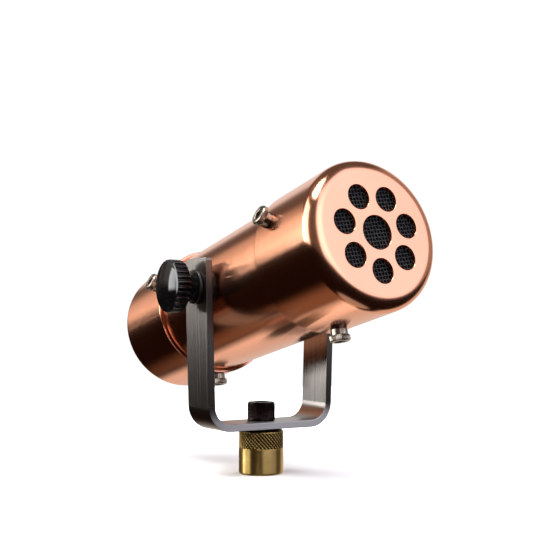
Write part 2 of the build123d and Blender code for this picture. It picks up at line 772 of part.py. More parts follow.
# ---- transformer can: drawn screening can with a flange
with BuildPart() as transformer_can:
    with BuildSketch(mic.offset(can_front)):
        Circle(can_flange_radius)
        with can_holes:
            Circle(can_screw_radius + hole_fit, mode=Mode.SUBTRACT)
    extrude(amount=-can_flange_thickness)
    with BuildSketch(mic.offset(can_back)):
        Circle(can_radius)
    extrude(amount=can_length)
    with BuildSketch(mic.offset(can_front)):
        Circle(can_radius - can_wall)
    extrude(amount=can_wall - can_length, mode=Mode.SUBTRACT)
    with BuildSketch(mic.offset(can_back)):
        with PolarLocations(pin_pitch_radius, pin_count, start_angle=90):
            Circle(output_lead_radius)
    extrude(amount=can_wall, mode=Mode.SUBTRACT)
transformer_can.part.label = "transformer_can"
export_step(transformer_can.part, "parts/transformer_can.step")

# ---- can screws: four through the flange into the transformer plate
with BuildPart() as can_screws:
    with BuildSketch(mic.offset(can_front - can_flange_thickness)):
        with can_holes:
            Circle(can_screw_radius)
    extrude(amount=can_flange_thickness + can_screw_depth)
    with BuildSketch(mic.offset(can_front - can_flange_thickness)):
        with can_holes:
            Circle(can_screw_head_radius)
    extrude(amount=-can_screw_radius)
can_screws.part.label = "can_screws"
export_step(can_screws.part, "parts/can_screws.step")

# ---- transformer core: stack of laminations with two windows
with BuildPart() as transformer_core:
    with BuildSketch(mic_section.offset(-core_stack / 2)):
        with Locations((0, core_middle)):
            Rectangle(core_width, core_length)
            with GridLocations(core_leg + core_window, 0, 2, 1):
                Rectangle(core_window, core_window_length, mode=Mode.SUBTRACT)
    extrude(amount=core_stack)
transformer_core.part.label = "transformer_core"
export_step(transformer_core.part, "parts/transformer_core.step")

# ---- transformer coil: wound bobbin round the core's middle leg
with BuildPart() as transformer_coil:
    with BuildSketch(mic.offset(core_middle)):
        Rectangle(core_leg + 2 * core_window, core_stack + 2 * coil_overhang)
        Rectangle(core_leg, core_stack, mode=Mode.SUBTRACT)
    extrude(amount=core_window_length / 2, both=True)
transformer_coil.part.label = "transformer_coil"
export_step(transformer_coil.part, "parts/transformer_coil.step")

# ================================================================ output connector
pin_ring = PolarLocations(pin_pitch_radius, pin_count, start_angle=90)

# ---- connector shell: flanged metal barrel through the rear cap
with BuildPart() as connector_shell:
    with BuildSketch(mic.offset(shell_mouth)):
        Circle(shell_flange_radius)
        Circle(shell_bore_radius, mode=Mode.SUBTRACT)
    extrude(amount=shell_flange_thickness)
    with BuildSketch(mic.offset(-rear_face)):
        Circle(shell_radius)
        Circle(shell_bore_radius, mode=Mode.SUBTRACT)
    extrude(amount=insert_back + rear_face)
connector_shell.part.label = "connector_shell"
export_step(connector_shell.part, "parts/connector_shell.step")

# ---- connector nut: ring nut inside the cap
with BuildPart() as connector_nut:
    with BuildSketch(mic.offset(-rear_face + cap_wall)):
        Circle(shell_nut_radius)
        Circle(shell_radius + thread_fit, mode=Mode.SUBTRACT)
    extrude(amount=shell_nut_thickness)
connector_nut.part.label = "connector_nut"
export_step(connector_nut.part, "parts/connector_nut.step")

# ---- connector insert: black moulding that carries the pins
with BuildPart() as connector_insert:
    with BuildSketch(mic.offset(insert_front)):
        Circle(shell_bore_radius)
        with pin_ring:
            Circle(pin_radius, mode=Mode.SUBTRACT)
    extrude(amount=insert_thickness)
connector_insert.part.label = "connector_insert"
export_step(connector_insert.part, "parts/connector_insert.step")

# ---- connector pins: three, with solder tails inside
with BuildPart() as connector_pins:
    with BuildSketch(mic.offset(shell_mouth + pin_recess)):
        with pin_ring:
            Circle(pin_radius)
    extrude(amount=insert_back + pin_tail - shell_mouth - pin_recess)
    chamfer(connector_pins.faces().sort_by(mic_axis)[:pin_count].edges(), pin_radius / 3)
connector_pins.part.label = "connector_pins"
export_step(connector_pins.part, "parts/connector_pins.step")

# ---- output leads: straight wires from the transformer can to the pins
with BuildPart() as output_leads:
    with BuildSketch(mic.offset(insert_back + pin_tail)):
        with pin_ring:
            Circle(output_lead_radius)
    extrude(amount=output_lead_length + can_wall)
output_leads.part.label = "output_leads"
export_step(output_leads.part, "parts/output_leads.step")
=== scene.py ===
"""Looks of an end-address ribbon microphone: copper pipe body, bent steel yoke, brass stand adaptor.

Shapes are worked out in millimetres along each part's own axes and placed in the row frame in metres.
The sections follow the order in which the microphone is put together: the stand and yoke, the body and what
hangs on it, and then what is inside, from the grille at the front to the connector at the back.
"""

import math

import bmesh
import bpy
from mathutils import Matrix, Vector


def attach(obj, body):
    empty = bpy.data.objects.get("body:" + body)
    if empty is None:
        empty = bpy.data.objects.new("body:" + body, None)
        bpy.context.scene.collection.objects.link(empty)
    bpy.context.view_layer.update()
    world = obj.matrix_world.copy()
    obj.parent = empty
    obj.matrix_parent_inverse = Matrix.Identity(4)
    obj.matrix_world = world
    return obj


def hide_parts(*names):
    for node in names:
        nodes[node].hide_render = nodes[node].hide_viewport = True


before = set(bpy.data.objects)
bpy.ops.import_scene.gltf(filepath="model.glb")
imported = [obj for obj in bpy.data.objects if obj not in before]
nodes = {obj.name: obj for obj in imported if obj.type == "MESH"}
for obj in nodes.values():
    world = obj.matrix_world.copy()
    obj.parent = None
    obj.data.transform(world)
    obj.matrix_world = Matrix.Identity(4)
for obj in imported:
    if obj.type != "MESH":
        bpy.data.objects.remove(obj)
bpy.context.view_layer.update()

# ---- Camera
# A short telephoto lens, low on the microphone's left front, looking up at it a little. It stands level
# to within a tenth of a degree.
camera_place = Vector((-0.20835, -0.33840, 0.06025))
camera_azimuth = math.radians(-32.574)
camera_elevation = math.radians(-3.249)
camera_roll = math.radians(0.089)
lens = bpy.data.cameras.new("camera")
lens.lens = 60.55
lens.sensor_width = 36.0
lens.clip_start = 0.01
camera = bpy.data.objects.new("camera", lens)
back = Vector((
    math.sin(camera_azimuth) * math.cos(camera_elevation),
    -math.cos(camera_azimuth) * math.cos(camera_elevation),
    math.sin(camera_elevation),
))
right = Vector((math.cos(camera_azimuth), math.sin(camera_azimuth), 0.0))
turn = Matrix((right, back.cross(right), back)).transposed()
camera.matrix_world = Matrix.LocRotScale(camera_place, turn @ Matrix.Rotation(camera_roll, 3, "Z"), None)
bpy.context.scene.collection.objects.link(camera)
bpy.context.scene.camera = camera
bpy.context.scene.view_settings.view_transform = "Standard"


# ---- Studio
# A white sweep with soft panels round the set. Seen straight, the surround is clean white. What the
# metal mirrors is a dim room with a few soft-edged panels in it, each given by its direction.
def linear(hexcode):
    """An sRGB hex colour as linear RGBA."""
    shares = [int(hexcode[i:i + 2], 16) / 255 for i in (1, 3, 5)]
    return [s / 12.92 if s <= 0.04045 else ((s + 0.055) / 1.055) ** 2.4 for s in shares] + [1.0]


def fill(tree, node, inputs):
    """Fills a shader node's inputs with constants or joins them to sockets."""
    for name, value in inputs.items():
        if isinstance(value, bpy.types.NodeSocket):
            tree.links.new(value, node.inputs[name])
        else:
            node.inputs[name].default_value = value


def add(tree, kind, inputs=None, output=0, **settings):
    """Adds a shader node with its settings and inputs: one of its outputs, or all of them for None."""
    made = tree.nodes.new(kind)
    for name, value in settings.items():
        setattr(made, name, value)
    fill(tree, made, inputs or {})
    return made.outputs if output is None else made.outputs[output]


world = bpy.data.worlds.new("studio")
world.use_nodes = True
bpy.context.scene.world = world
room = world.node_tree
room.nodes.clear()
toward = add(room, "ShaderNodeTexCoord", output="Generated")
east, north, up = add(room, "ShaderNodeSeparateXYZ", {0: toward}, None)
south = add(room, "ShaderNodeMath", {0: north, 1: -1.0}, operation="MULTIPLY")
azimuth = add(room, "ShaderNodeMath", {0: east, 1: south}, operation="ARCTAN2")
azimuth = add(room, "ShaderNodeMath", {0: azimuth}, operation="DEGREES")
elevation = add(room, "ShaderNodeMath", {0: up}, operation="ARCSINE")
elevation = add(room, "ShaderNodeMath", {0: elevation}, operation="DEGREES")

# name: lowest and highest azimuth, lowest and highest elevation, edge softness, radiance, tint
panels = {
    "front key": (-22, 54, 4, 62, 8, 1.75, "#e4e6ff"),
    "front key's hot middle": (-26, 22, 8, 46, 16, 0.7, "#fffdf4"),
    "left strip": (-138, -92, -1, 46, 4, 3.0, "#ffffff"),
    "left strip's lamp": (-138, -123, -1, 25, 3, 6.0, "#ffffff"),
    "left rear panel": (-158, -134, 4, 23, 6, 0.95, "#fff2e8"),
    "left rear panel's edge": (-172, -158, 4, 24, 6, 0.62, "#ffe6d6"),
    "overhead": (-112, -40, 62, 84, 9, 18.0, "#ffffff"),
    "right room": (56, 106, 4, 44, 8, 0.25, "#fff0e6"),
    "rear sweep": (106, 170, 0, 38, 6, 0.75, "#ffffff"),
    "rear floor": (90, 172, -56, 0, 8, 0.75, "#fff2e8"),
    "left rear floor": (-180, -154, -72, -41, 9, 0.24, "#ffc8a0"),
    "right rear floor": (150, 180, -72, -45, 6, 0.66, "#fff0e4"),
    "floor under the set": (-400, 400, -140, -70, 6, 0.42, "#fffaf2"),
    "dim room above": (-400, 400, 0, 140, 10, 0.12, "#ffe4d4"),
    "dim room below": (-400, 400, -140, 0, 10, 0.011, "#ffb090"),
}
glow = None
for low_az, high_az, low_el, high_el, soft, radiance, tint in panels.values():
    masks = []
    for where, low, high in ((azimuth, low_az, high_az), (elevation, low_el, high_el)):
        off = add(room, "ShaderNodeMath", {0: where, 1: (low + high) / 2}, operation="SUBTRACT")
        off = add(room, "ShaderNodeMath", {0: off}, operation="ABSOLUTE")
        half_size = (high - low) / 2
        edge = {0: off, 1: half_size + soft / 2, 2: half_size - soft / 2}
        masks.append(add(room, "ShaderNodeMapRange", edge))
    mask = add(room, "ShaderNodeMath", {0: masks[0], 1: masks[1]}, operation="MULTIPLY")
    strength = add(room, "ShaderNodeMath", {0: mask, 1: radiance}, operation="MULTIPLY")
    light = add(room, "ShaderNodeVectorMath", {0: linear(tint)[:3], "Scale": strength}, operation="SCALE")
    glow = add(room, "ShaderNodeVectorMath", {0: glow, 1: light}) if glow else light
mirrored = add(room, "ShaderNodeBackground", {"Color": glow, "Strength": 1.0})
seen = add(room, "ShaderNodeBackground", {"Color": linear("#ffffff"), "Strength": 1.05})
straight = add(room, "ShaderNodeLightPath", output="Is Camera Ray")
surround = add(room, "ShaderNodeMixShader", {0: straight, 1: mirrored, 2: seen})
add(room, "ShaderNodeOutputWorld", {"Surface": surround}, None)

# One broad lamp overhead lights the floor and the dark plastics; the metal doesn't mirror it.
lamp_size = 1.6
lamp_radiance = 3.4
lamp = bpy.data.lights.new("overhead lamp", "AREA")
lamp.size = lamp_size
lamp.energy = lamp_radiance * math.pi * lamp_size ** 2
overhead = bpy.data.objects.new("overhead lamp", lamp)
overhead.location = (-0.1, -0.1, 1.1)
overhead.visible_camera = False
overhead.visible_glossy = False
bpy.context.scene.collection.objects.link(overhead)


def material(name):
    """A new material, its tree and its Principled shader."""
    made = bpy.data.materials.new(name)
    made.use_nodes = True
    return made, made.node_tree, made.node_tree.nodes["Principled BSDF"]


# The floor is smooth matt paper, left out of the metal's reflections like the rest of the set.
floor_radius = 0.6
paper, tree, shader = material("matt white paper")
fibre = add(tree, "ShaderNodeTexNoise", {"Scale": 900.0, "Detail": 4.0})
tones = {0: fibre, 6: linear("#f4f4f4"), 7: linear("#f8f8f8")}
shade = add(tree, "ShaderNodeMix", tones, 2, data_type="RGBA")
fill(tree, shader, {"Base Color": shade, "Roughness": 0.9})
mesh = bmesh.new()
bmesh.ops.create_circle(mesh, cap_ends=True, radius=floor_radius, segments=128)
data = bpy.data.meshes.new("floor")
mesh.to_mesh(data)
data.materials.append(paper)
floor = bpy.data.objects.new("floor", data)
floor.visible_glossy = False
bpy.context.scene.collection.objects.link(floor)

# ---- Stand adaptor
# A turned brass barrel, bored below for the stand's thread, its upper band diamond-knurled and its top
# edge bevelled so that it carries the yoke's bar.
millimetre = Matrix.Scale(0.001, 4)
stand_place = millimetre
adaptor_radius = 9.45
adaptor_length = 18.9
bore_radius = 7.45
bore_depth = 12.0
bolt_hole_radius = 3.97
knurl_low = 10.9
knurl_high = 17.5
knurl_depth = 0.42
knurl_count = 38
knurl_lead = 62.0


def ring(mesh, place, radius, station, steps, shape=None, centre=(0.0, 0.0)):
    """A closed ring of vertices about a part's Z axis, its radius changed by a shape function if given."""
    made = []
    for k in range(steps):
        angle = 2 * math.pi * k / steps
        reach = shape(radius, angle, station) if shape else radius
        spot = Vector((centre[0] + reach * math.cos(angle), centre[1] + reach * math.sin(angle), station))
        made.append(mesh.verts.new(place @ spot))
    return made


def bridge(mesh, first, second):
    """Faces between two rings, either of which may be a single vertex."""
    count = max(len(first), len(second))
    for k in range(count):
        after = (k + 1) % count
        corners = (
            first[k % len(first)],
            first[after % len(first)],
            second[after % len(second)],
            second[k % len(second)],
        )
        mesh.faces.new(tuple(dict.fromkeys(corners)))


def rounded(corners, steps=5):
    """An outline with each (radius, station, round) corner turned into an arc of that round."""
    outline = []
    for i, corner in enumerate(corners):
        here = Vector(corner[:2])
        round_radius = corner[2] if len(corner) > 2 else 0.0
        if not round_radius:
            outline.append(tuple(here))
            continue
        before = (Vector(corners[i - 1][:2]) - here).normalized()
        after = (Vector(corners[(i + 1) % len(corners)][:2]) - here).normalized()
        half = before.angle(after) / 2
        centre = here + (before + after).normalized() * round_radius / math.sin(half)
        start = here + before * round_radius / math.tan(half) - centre
        end = here + after * round_radius / math.tan(half) - centre
        sweep = start.angle(end)
        for k in range(steps + 1):
            share = k / steps
            weights = math.sin((1 - share) * sweep), math.sin(share * sweep)
            outline.append(tuple(centre + (start * weights[0] + end * weights[1]) / math.sin(sweep)))
    return outline


def turned(mesh, place, outline, steps, closed=False, centre=(0.0, 0.0)):
    """Turns an outline of (radius, station) or (radius, station, shape) about a part's Z axis."""
    rings = []
    for point in outline:
        shape = point[2] if len(point) > 2 else None
        if point[0] == 0:
            rings.append([mesh.verts.new(place @ Vector((centre[0], centre[1], point[1])))])
        else:
            rings.append(ring(mesh, place, point[0], point[1], steps, shape, centre))
    for first, second in zip(rings, rings[1:]):
        bridge(mesh, first, second)
    if closed:
        bridge(mesh, rings[-1], rings[0])


def piece(name, mesh, finish, crease=32):
    """An object from a mesh built in the row frame, smooth but for edges sharper than crease degrees."""
    bmesh.ops.recalc_face_normals(mesh, faces=mesh.faces)
    data = bpy.data.meshes.new(name)
    mesh.to_mesh(data)
    mesh.free()
    data.shade_smooth()
    data.set_sharp_from_angle(angle=math.radians(crease))
    data.materials.append(finish)
    made = bpy.data.objects.new(name, data)
    bpy.context.scene.collection.objects.link(made)
    return made


def local_mm(tree, place, stretch=(1.0, 1.0, 1.0)):
    """Millimetres along a part's own axes, which turn with the part, multiplied by stretch."""
    at_rest = add(tree, "ShaderNodeTexCoord", output="Object")
    inputs = {
        "Vector": at_rest,
        "Location": place.to_translation(),
        "Rotation": place.to_euler(),
        "Scale": place.to_scale(),
    }
    along_axes = add(tree, "ShaderNodeMapping", inputs, vector_type="TEXTURE")
    return add(tree, "ShaderNodeVectorMath", {0: along_axes, 1: stretch}, operation="MULTIPLY")


# Turned brass: warm yellow, fine tool rings that draw light out along the barrel, a little dull film,
# and painted shade, near black, deep in the knurl's grooves. Real tool rings are about 0.1 mm apart, drawn at
# 0.3 mm so that they show.
brass, tree, shader = material("turned brass")
x, y, z = add(tree, "ShaderNodeSeparateXYZ", {0: local_mm(tree, stand_place)}, None)
from_axis = add(tree, "ShaderNodeCombineXYZ", {0: x, 1: y})
reach = add(tree, "ShaderNodeVectorMath", {0: from_axis}, 1, operation="LENGTH")
in_knurl = add(tree, "ShaderNodeMapRange", {0: z, 1: knurl_low - 0.2, 2: knurl_low})
groove = add(tree, "ShaderNodeMapRange", {0: reach, 1: adaptor_radius - 0.03, 2: adaptor_radius - 0.27})
# Painted shade: the colour darkens to near black the deeper a point lies in the knurl's grooves.
groove_shade = add(tree, "ShaderNodeMath", {0: in_knurl, 1: groove}, operation="MULTIPLY")
tool_rings = {"Vector": local_mm(tree, stand_place, (0.05, 0.05, 3.2)), "Scale": 1.0, "Detail": 4.0}
tool_rings = add(tree, "ShaderNodeTexNoise", tool_rings)
film = {"Vector": local_mm(tree, stand_place, (0.12, 0.12, 0.2)), "Scale": 1.0, "Detail": 5.0}
film = add(tree, "ShaderNodeTexNoise", film)
to_world = {"vector_type": "VECTOR", "convert_from": "OBJECT", "convert_to": "WORLD"}
barrel_way = add(tree, "ShaderNodeVectorTransform", {"Vector": (0.0, 0.0, 1.0)}, **to_world)
clean = add(tree, "ShaderNodeMix", {0: film, 6: linear("#b08a42"), 7: linear("#e2c580")}, 2, data_type="RGBA")
groove_shaded_colour = add(tree, "ShaderNodeMix", {0: groove_shade, 6: clean, 7: linear("#1c1206")}, 2, data_type="RGBA")
fill(tree, shader, {
    "Metallic": 1.0,
    "Anisotropic": 0.95,
    "Base Color": groove_shaded_colour,
    "Roughness": add(tree, "ShaderNodeMapRange", {0: tool_rings, 3: 0.27, 4: 0.38}),
    "Normal": add(tree, "ShaderNodeBump", {"Height": tool_rings, "Strength": 1.0, "Distance": 8e-6}),
    "Tangent": barrel_way,
})


def diamond(radius, angle, station):
    """Crossed helical grooves, one way deeper than the other, that leave small pyramids."""
    lean = station / knurl_lead
    turns = angle / (2 * math.pi)
    cuts = []
    for way, depth in ((1, knurl_depth), (-1, knurl_depth / 2)):
        phase = (turns + way * lean) * knurl_count % 1.0
        cuts.append(depth * max(0.0, 1 - 1.3 * abs(1 - abs(2 * phase - 1))))
    return radius - max(cuts)


mesh = bmesh.new()
outline = [(bore_radius, 0.0), (adaptor_radius - 0.6, 0.0), (adaptor_radius - 0.06, 0.54)]
outline += [(adaptor_radius, 0.66)]
outline += [(adaptor_radius, 1.1), (adaptor_radius, knurl_low - 0.7), (adaptor_radius, knurl_low - 0.3)]
outline += [(adaptor_radius - 0.12, knurl_low - 0.12)]
knurl_rows = 34
for row in range(knurl_rows + 1):
    outline.append((adaptor_radius, knurl_low + (knurl_high - knurl_low) * row / knurl_rows, diamond))
outline += rounded([
    (adaptor_radius, knurl_high + 0.02),
    (adaptor_radius, adaptor_length - 1.3, 0.3),
    (adaptor_radius - 1.3, adaptor_length, 0.2),
    (bolt_hole_radius, adaptor_length),
], 3)
outline += [(bolt_hole_radius, bore_depth), (bore_radius, bore_depth)]
turned(mesh, stand_place, outline, knurl_count * 12, closed=True)
adaptor = piece("brass_stand_adaptor", mesh, brass)
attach(adaptor, "stand")
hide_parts("stand_adaptor")

# ---- Yoke bolt
# A black-oxide socket head cap screw: straight-knurled head, bevelled rim, hexagon socket. Handling has
# scuffed the oxide to a brownish sheen.
def worn(name, place, grain, detail, tones, roughness, pits, depth_mm, constants):
    """A material whose tone and roughness follow one noise and whose relief follows a finer one.

    grain and pits are in cycles per millimetre along the part's own axes. Most real marks are finer than
    0.1 mm, so they are drawn as coarse as they need to be to show.
    """
    made, tree, shader = material(name)
    wear = {"Vector": local_mm(tree, place, grain), "Scale": 1.0, "Detail": detail}
    wear = add(tree, "ShaderNodeTexNoise", wear)
    relief = {"Vector": local_mm(tree, place, pits), "Scale": 1.0, "Detail": 3.0}
    relief = add(tree, "ShaderNodeTexNoise", relief)
    ends = {0: wear, 6: linear(tones[0]), 7: linear(tones[1])}
    depth = depth_mm / 1000
    fill(tree, shader, constants)
    fill(tree, shader, {
        "Base Color": add(tree, "ShaderNodeMix", ends, 2, data_type="RGBA"),
        "Roughness": add(tree, "ShaderNodeMapRange", {0: wear, 3: roughness[0], 4: roughness[1]}),
        "Normal": add(tree, "ShaderNodeBump", {"Height": relief, "Strength": 1.0, "Distance": depth}),
    })
    return made


oxide = worn(
    "black oxide steel", stand_place, grain=(0.5, 0.5, 0.7), detail=6.0, tones=("#1a1211", "#2e2322"),
    roughness=(0.2, 0.38), pits=(4.0, 4.0, 4.0), depth_mm=0.01, constants={"Metallic": 1.0},
)


def hexagonal(radius, angle, station):
    """A hexagon whose flats are at the given radius from its middle."""
    flat = math.radians(60)
    return radius / math.cos((angle + flat / 2) % flat - flat / 2)


def straight_knurl(radius, angle, station):
    """Fine grooves along the screw."""
    return radius - 0.09 * (1 + math.cos(60 * angle))


bolt_seat = 22.0
bolt_head_top = bolt_seat + 7.9
bolt_tip = bolt_seat - 9.5
bolt_shank = 3.95
bolt_head = 5.8
bolt_socket = 3.175
mesh = bmesh.new()
outline = [(0, bolt_tip), (bolt_shank - 0.55, bolt_tip), (bolt_shank, bolt_tip + 0.6)]
outline += [(bolt_shank, bolt_seat), (bolt_head - 0.25, bolt_seat), (bolt_head, bolt_seat + 0.3)]
outline += [(bolt_head, bolt_seat + 1.2)]
outline += [(bolt_head, bolt_seat + 1.5, straight_knurl), (bolt_head, bolt_head_top - 1.0, straight_knurl)]
outline += [(bolt_head - 0.06, bolt_head_top - 0.7), (bolt_head - 0.5, bolt_head_top)]
outline += [(bolt_socket + 0.425, bolt_head_top, hexagonal), (bolt_socket, bolt_head_top - 0.35, hexagonal)]
outline += [(bolt_socket, bolt_head_top - 4.0, hexagonal)]
outline += [(0, bolt_head_top - 4.6)]
turned(mesh, stand_place, outline, 360)
bolt = piece("yoke_socket_bolt", mesh, oxide)
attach(bolt, "stand")
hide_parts("yoke_bolt")

# ---- Yoke
# One flat stainless bar bent to a U, grained along its length on a belt, its long edges just broken.
# The grain draws highlights out across the bar. Its lines are drawn 0.2 mm apart, twice the real, to show.
pivot_height = 77.75
bar_width = 18.2
bar_thickness = 3.0
bar_top = 21.95
half_gap = 28.6
splay = math.radians(1.86)
bend_inside = 7.5
arm_top = pivot_height + 11.7
edge_break = 0.3
corner_radius = 1.2
pivot_hole = 3.425
bolt_hole = 4.01

stainless, tree, shader = material("brushed stainless steel")
x, y, z = add(tree, "ShaderNodeSeparateXYZ", {0: local_mm(tree, stand_place)}, None)
side_of = add(tree, "ShaderNodeMath", {0: x}, operation="SIGN")
on_arm = add(tree, "ShaderNodeMapRange", {0: z, 1: bar_top - bar_thickness / 2, 2: bar_top + bend_inside})
on_bar = add(tree, "ShaderNodeMath", {0: 1.0, 1: on_arm}, operation="SUBTRACT")
above_pivot = add(tree, "ShaderNodeMath", {0: z, 1: pivot_height}, operation="SUBTRACT")
lean_out = add(tree, "ShaderNodeMath", {0: above_pivot, 1: math.tan(splay)}, operation="MULTIPLY")
out = add(tree, "ShaderNodeMath", {0: x}, operation="ABSOLUTE")
arm_depth = add(tree, "ShaderNodeMath", {0: out, 1: lean_out}, operation="SUBTRACT")
on_arm_depth = add(tree, "ShaderNodeMath", {0: arm_depth, 1: on_arm}, operation="MULTIPLY")
on_bar_depth = add(tree, "ShaderNodeMath", {0: z, 1: on_bar}, operation="MULTIPLY")
depth = add(tree, "ShaderNodeMath", {0: on_arm_depth, 1: on_bar_depth}, operation="SUBTRACT")
up_arm_length = add(tree, "ShaderNodeMath", {0: z, 1: on_arm}, operation="MULTIPLY")
length = add(tree, "ShaderNodeMath", {0: x, 1: on_bar, 2: up_arm_length}, operation="MULTIPLY_ADD")
along_bar = add(tree, "ShaderNodeCombineXYZ", {0: depth, 1: y, 2: length})
fine = add(tree, "ShaderNodeVectorMath", {0: along_bar, 1: (2.0, 4.5, 0.008)}, operation="MULTIPLY")
fine = add(tree, "ShaderNodeTexNoise", {"Vector": fine, "Scale": 1.0, "Detail": 4.0})
broad = add(tree, "ShaderNodeVectorMath", {0: along_bar, 1: (0.6, 0.7, 0.006)}, operation="MULTIPLY")
broad = add(tree, "ShaderNodeTexNoise", {"Vector": broad, "Scale": 1.0, "Detail": 2.0})
grain = add(tree, "ShaderNodeMix", {0: 0.4, 2: fine, 3: broad})
# Painted light and shade: the one steel is given a darker colour on the arms and a lighter one on the bar.
shaded_arm_tone = {0: grain, 6: linear("#6a6561"), 7: linear("#aaa5a0")}
shaded_arm_tone = add(tree, "ShaderNodeMix", shaded_arm_tone, 2, data_type="RGBA")
lit_bar_tone = {0: grain, 6: linear("#b4b1a9"), 7: linear("#e4e2da")}
lit_bar_tone = add(tree, "ShaderNodeMix", lit_bar_tone, 2, data_type="RGBA")
bar_way = add(tree, "ShaderNodeMath", {0: side_of, 1: on_bar}, operation="MULTIPLY")
grain_way = add(tree, "ShaderNodeCombineXYZ", {0: bar_way, 2: on_arm})
grain_way = add(tree, "ShaderNodeVectorTransform", {"Vector": grain_way}, **to_world)
facing = add(tree, "ShaderNodeNewGeometry", output="Normal")
rough_from = add(tree, "ShaderNodeMix", {0: 0.55, 2: grain, 3: on_bar})
fill(tree, shader, {
    "Metallic": 1.0,
    "Anisotropic": 0.85,
    "Base Color": add(tree, "ShaderNodeMix", {0: on_arm, 6: lit_bar_tone, 7: shaded_arm_tone}, 2, data_type="RGBA"),
    "Roughness": add(tree, "ShaderNodeMapRange", {0: rough_from, 3: 0.2, 4: 0.46}),
    "Normal": add(tree, "ShaderNodeBump", {"Height": fine, "Strength": 1.0, "Distance": 1e-5}),
    "Tangent": add(tree, "ShaderNodeVectorMath", {0: facing, 1: grain_way}, operation="CROSS_PRODUCT"),
})

# The bar's middle line, from the left arm's top down, along the bottom and up the right arm.
slope = math.tan(splay)
middle_bar = bar_top - bar_thickness / 2
middle_bend = bend_inside + bar_thickness / 2
arm_offset = bar_thickness / 2 / math.cos(splay)


def arm_middle(height):
    """Distance from the mid-plane to the middle of an arm's thickness."""
    return half_gap + slope * (height - pivot_height) + arm_offset


corner = Vector((arm_middle(middle_bar), middle_bar))
up_arm = Vector((slope, 1.0)).normalized()
in_bar = Vector((-1.0, 0.0))
half = up_arm.angle(in_bar) / 2
bend_centre = corner + (up_arm + in_bar).normalized() * middle_bend / math.sin(half)
bend_start = corner + up_arm * middle_bend / math.tan(half) - bend_centre
bend_end = corner + in_bar * middle_bend / math.tan(half) - bend_centre
sweep = bend_start.angle(bend_end)
bend_steps = 20
arm_steps = 10
corner_steps = 5
path = []
for k in range(corner_steps + 1):
    drop = corner_radius * (1 - math.cos(math.radians(90 - 90 * k / corner_steps)))
    path.append(Vector((arm_middle(arm_top - drop), arm_top - drop)))
path = path[::-1]
last = bend_centre + bend_start
for k in range(1, arm_steps):
    path.append(path[corner_steps].lerp(last, k / arm_steps))
for k in range(bend_steps + 1):
    share = k / bend_steps
    weights = math.sin((1 - share) * sweep), math.sin(share * sweep)
    path.append(bend_centre + (bend_start * weights[0] + bend_end * weights[1]) / math.sin(sweep))
path += [Vector((-p.x, p.y)) for p in reversed(path)]
mesh = bmesh.new()
sections = []
for i, spot in enumerate(path):
    ahead = (path[min(i + 1, len(path) - 1)] - path[max(i - 1, 0)]).normalized()
    out = Vector((-ahead.y, ahead.x))
    drop = arm_top - spot.y
    inset = 0.0
    if drop < corner_radius:
        inset = corner_radius - math.sqrt(corner_radius ** 2 - (corner_radius - drop) ** 2)
    half_width = bar_width / 2 - inset
    half_thick = bar_thickness / 2
    loop = []
    for across_sign, out_sign in ((1, 1), (-1, 1), (-1, -1), (1, -1)):
        steps = (0, 1, 2, 3) if across_sign == out_sign else (3, 2, 1, 0)
        for k in steps:
            angle = math.radians(30 * k)
            across = across_sign * (half_width - edge_break * (1 - math.cos(angle)))
            through = out_sign * (half_thick - edge_break * (1 - math.sin(angle)))
            point = spot + out * through
            loop.append(mesh.verts.new(stand_place @ Vector((point.x, across, point.y))))
    sections.append(loop)
for first, second in zip(sections, sections[1:]):
    bridge(mesh, first, second)
mesh.faces.new(sections[0])
mesh.faces.new(reversed(sections[-1]))
yoke = piece("steel_yoke", mesh, stainless, 60)


def drill(target, centre, axis, radius, length):
    """Cuts a round hole through an object, millimetres in."""
    tool_mesh = bmesh.new()
    turn = Vector(axis).to_track_quat("Z", "Y").to_matrix().to_4x4()
    outline = [(0, -length / 2), (radius, -length / 2), (radius, length / 2), (0, length / 2)]
    turned(tool_mesh, stand_place @ Matrix.Translation(centre) @ turn, outline, 64)
    tool = piece("drill", tool_mesh, target.data.materials[0])
    cut = target.modifiers.new("cut", "BOOLEAN")
    cut.object = tool
    cut.solver = "EXACT"
    bpy.context.view_layer.update()
    result = bpy.data.meshes.new_from_object(target.evaluated_get(bpy.context.evaluated_depsgraph_get()))
    target.modifiers.clear()
    target.data = result
    bpy.data.objects.remove(tool)


drill(yoke, (0.0, 0.0, pivot_height), (1, 0, 0), pivot_hole, 100)
drill(yoke, (0.0, 0.0, middle_bar), (0, 0, 1), bolt_hole, 10)
level = yoke.modifiers.new("level", "WEIGHTED_NORMAL")
level.keep_sharp = True
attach(yoke, "yoke")
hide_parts("yoke")

# ---- Body tube
# Copper pipe that joins the two caps. It shows as the middle of the body, brushed round by hand.
# It draws highlights out along the body; its lines are drawn 0.2 mm apart, where real ones are finer.
body_tilt = math.radians(12.4)
mic_turn = Matrix.Rotation(math.radians(90) - body_tilt, 4, "X")
mic_place = Matrix.Translation((0.0, 0.0, pivot_height / 1000)) @ mic_turn @ millimetre

